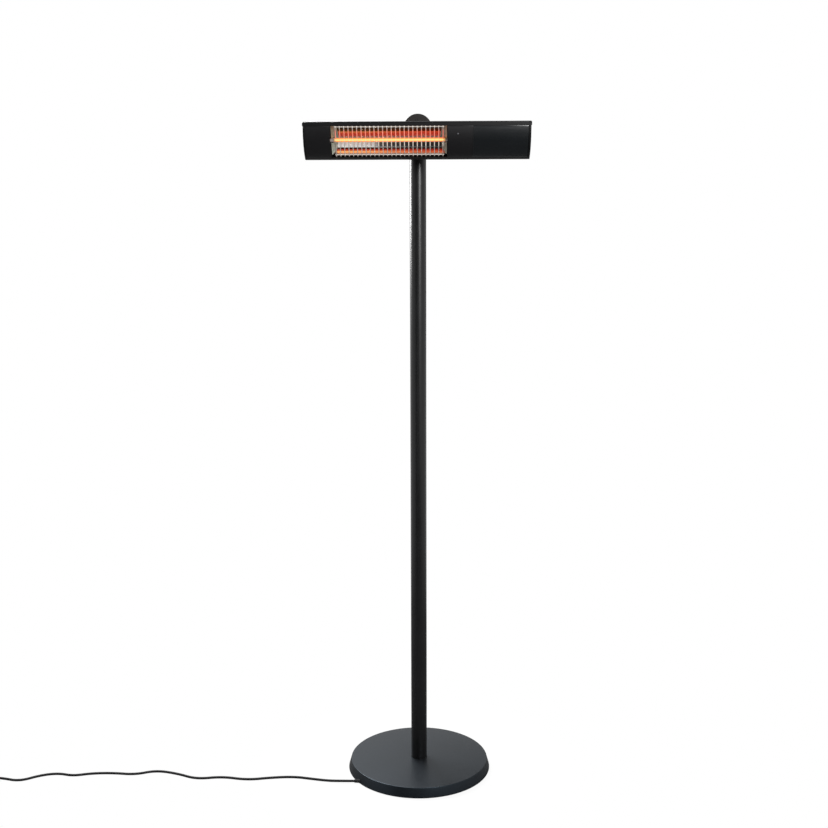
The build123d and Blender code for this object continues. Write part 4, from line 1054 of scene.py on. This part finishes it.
class HEATER_OT_guard(bpy.types.Operator):
    """Makes the wire guard in front of the lamp"""

    bl_idname = "heater.guard"
    bl_label = "Wire guard"

    def execute(self, context):
        guard = settings("guard")
        first = -0.209      # where the first wire is along the head
        # rise and depth of the wires' ends, and depth of their run across the window
        reach, rear, front = 0.0422, 0.074, 0.084
        rod_radius, rod_rise, rod_depth, overhang = 0.0013, 0.038, front - 0.0018, 0.003
        bend = guard.bend
        form = bmesh.new()
        ring = bmesh.ops.create_circle(form, segments=10, radius=guard.wire_radius)["verts"]
        bmesh.ops.translate(form, verts=ring, vec=(first, reach, rear))
        section = drawn(form, form.edges[:], (0, 0, front - rear - bend))
        section = bent(form, section, (first, reach - bend, front - bend))
        section = drawn(form, section, (0, 2 * (bend - reach), 0))
        section = bent(form, section, (first, bend - reach, front - bend))
        drawn(form, section, (0, 0, rear - front + bend))
        bmesh.ops.holes_fill(form, edges=open_edges(form.edges))
        wire = all_of(form)
        for number in range(1, guard.wire_count):
            copied = bmesh.ops.duplicate(form, geom=wire)["geom"]
            bmesh.ops.translate(
                form, verts=only(bmesh.types.BMVert, copied), vec=(number * guard.pitch, 0, 0),
            )
        span = (guard.wire_count - 1) * guard.pitch
        for side in (-1, 1):
            rod = bmesh.ops.create_cone(
                form, cap_ends=True, segments=12, radius1=rod_radius, radius2=rod_radius,
                depth=span + 2 * overhang,
            )["verts"]
            bmesh.ops.rotate(
                form, verts=rod, cent=(0, 0, 0), matrix=Matrix.Rotation(math.pi / 2, 3, "Y"),
            )
            bmesh.ops.translate(form, verts=rod, vec=(first + span / 2, side * rod_rise, rod_depth))
        bmesh.ops.recalc_face_normals(form, faces=form.faces)
        place_in_head(form)
        finish_piece("guard_wires", form, "head", "guard_wire", ["wire_guard"], 50)
        return {"FINISHED"}


class HEATER_OT_electrics(bpy.types.Operator):
    """Finishes the board, relay and terminals inside the head, and the switch on its end"""

    bl_idname = "heater.electrics"
    bl_label = "Electrics and switch"

    def execute(self, context):
        keep_nodes("board", "control_board", "sensor_board", "divider_plate")
        keep_nodes("steel", "board_pillars")
        rounded_copies("relay_case", block_edge, "relay")
        rounded_copies("terminal_plastic", moulded_edge, "terminal_block")
        rounded_copies("switch_plastic", moulded_edge, "switch_body", "rocker")
        return {"FINISHED"}


# ------------ stage
class HEATER_OT_stage(bpy.types.Operator):
    """Sets up the camera, the white room, the floor, the black cards and the lamps"""

    bl_idname = "heater.stage"
    bl_label = "Camera, floor and light"

    def execute(self, context):
        scene, stage = context.scene, settings("stage")
        camera = bpy.data.objects.new("camera", bpy.data.cameras.new("camera"))
        scene.collection.objects.link(camera)
        camera.data.lens = stage.lens
        camera.data.sensor_width = 36.0
        camera.matrix_world = (
            Matrix.Translation(stage.camera_place)
            @ Matrix.Rotation(stage.camera_heading, 4, "Z")
            @ Matrix.Rotation(math.pi / 2 - stage.camera_pitch, 4, "X")
            @ Matrix.Rotation(stage.camera_roll, 4, "Z")
        )
        scene.camera = camera
        scene.view_settings.view_transform = "Standard"

        world = bpy.data.worlds.new("white room")
        scene.world = world
        world.use_nodes = True
        background = world.node_tree.nodes["Background"]
        room = Network(world.node_tree)
        room.join(background, "Color", (1, 1, 1))
        room.join(background, "Strength", room.seen().spread(0, 1, stage.room_light, 1.0))

        paper = matt_sheet("pale floor", 90.0, 3.0, 0.78, 0.82)
        x, y, _ = paper.axes(paper.object_place())
        away = (x ** 2.0 + y ** 2.0) ** 0.5
        white = paper.seen() * away.spread(0.22, 0.5, stage.floor_whiteness, 1.0)
        glow = paper.add("ShaderNodeEmission", values={"Color": (1, 1, 1), "Strength": 1.0})
        paper.join(paper.output, "Surface", paper.add(
            "ShaderNodeMixShader", values={0: white, 1: paper.shader.outputs["BSDF"], 2: glow},
        ))
        form = bmesh.new()
        bmesh.ops.create_circle(form, cap_ends=True, segments=64, radius=9.0)
        new_object("floor", form, paper.material)

        # cards out of view, seen only in gloss, which keep the white room out of it: a cloth on
        # the floor for what faces downwards, four boards in front for the pole, the head and the
        # rim, and a screen at the back right for the top of the base; sizes are half sizes
        cloth = matt_sheet("black cloth", 400.0, 2.0, 0.10, 0.14)
        for name, place, size, upright in (
            ("black_cloth", (0, -0.68, 0.001), (1.8, 1.98), False),
            ("black_stand", (0.22, -2.40, 0.65), (0.40, 0.65), True),
            ("black_wing", (-1.30, -2.40, 1.20), (0.65, 1.20), True),
            ("black_board", (-0.01, -2.42, 1.80), (0.63, 0.65), True),
            ("black_skirt", (0, -2.45, 0.20), (1.8, 0.20), True),
            ("black_screen", (0.85, 2.20, 2.00), (0.85, 0.90), True),
        ):
            form = bmesh.new()
            bmesh.ops.create_grid(form, x_segments=1, y_segments=1, size=1.0)
            bmesh.ops.scale(form, vec=(*size, 1), verts=form.verts)
            turn = Matrix.Rotation(math.pi / 2 if upright else 0, 3, "X")
            bmesh.ops.rotate(form, cent=(0, 0, 0), matrix=turn, verts=form.verts)
            bmesh.ops.translate(form, vec=place, verts=form.verts)
            card = new_object(name, form, cloth.material)
            card.visible_camera = False
            card.visible_diffuse = False
            card.visible_shadow = False

        # each lamp faces a point of the heater
        for name, place, aim, size, power in (
            ("right soft box", (1.28, -2.45, 2.3), (0, 0, 1.6), (0.38, 1.1), 84),
            ("left rear strip", (-1.5, 0.9, 2.0), (0, 0, 1.7), (0.35, 1.0), 60),
            ("rear soft box", (-0.9, 1.3, 2.6), (0, 0, 0), (0.9, 0.7), 80),
        ):
            light = bpy.data.lights.new(name, "AREA")
            light.shape = "RECTANGLE"
            light.size, light.size_y = size
            light.energy = power
            lamp = bpy.data.objects.new(name, light)
            scene.collection.objects.link(lamp)
            lamp.location = place
            way = Vector(aim) - Vector(place)
            lamp.rotation_euler = way.to_track_quat("-Z", "Y").to_euler()
        return {"FINISHED"}


class HEATER_OT_finishes(bpy.types.Operator):
    """Makes the paints, metals and plastics of the heater"""

    bl_idname = "heater.finishes"
    bl_label = "Finishes"

    def execute(self, context):
        make_finishes()
        return {"FINISHED"}


operators = (
    HEATER_OT_finishes, HEATER_OT_stage, HEATER_OT_cord, HEATER_OT_base, HEATER_OT_pole,
    HEATER_OT_tilt_joint, HEATER_OT_shell, HEATER_OT_reflector, HEATER_OT_lamp,
    HEATER_OT_guard, HEATER_OT_electrics,
)
setting_groups = {
    "stage": StageSettings, "stand": StandSettings, "head": HeadSettings,
    "lamp": LampSettings, "guard": GuardSettings, "cord": CordSettings,
}


class HEATER_PT_panel(bpy.types.Panel):
    bl_idname = "HEATER_PT_panel"
    bl_label = "Patio heater"
    bl_space_type = "VIEW_3D"
    bl_region_type = "UI"
    bl_category = "Heater"

    def draw(self, context):
        for name, group in setting_groups.items():
            box = self.layout.box()
            box.label(text=name.capitalize())
            for prop in group.__annotations__:
                box.prop(settings(name), prop)
        for operator in operators:
            self.layout.operator(operator.bl_idname)


def register():
    for group in setting_groups.values():
        bpy.utils.register_class(group)
    for name, group in setting_groups.items():
        setattr(bpy.types.Scene, "heater_" + name, PointerProperty(type=group))
    for operator in operators:
        bpy.utils.register_class(operator)
    bpy.utils.register_class(HEATER_PT_panel)


def unregister():
    bpy.utils.unregister_class(HEATER_PT_panel)
    for operator in reversed(operators):
        bpy.utils.unregister_class(operator)
    for name, group in setting_groups.items():
        delattr(bpy.types.Scene, "heater_" + name)
        bpy.utils.unregister_class(group)


def main():
    register()
    bpy.ops.heater.finishes()
    bpy.ops.heater.stage()
    bpy.ops.heater.cord()
    bpy.ops.heater.base()
    bpy.ops.heater.pole()
    bpy.ops.heater.tilt_joint()
    bpy.ops.heater.shell()
    bpy.ops.heater.reflector()
    bpy.ops.heater.lamp()
    bpy.ops.heater.guard()
    bpy.ops.heater.electrics()


if __name__ == "__main__":
    main()
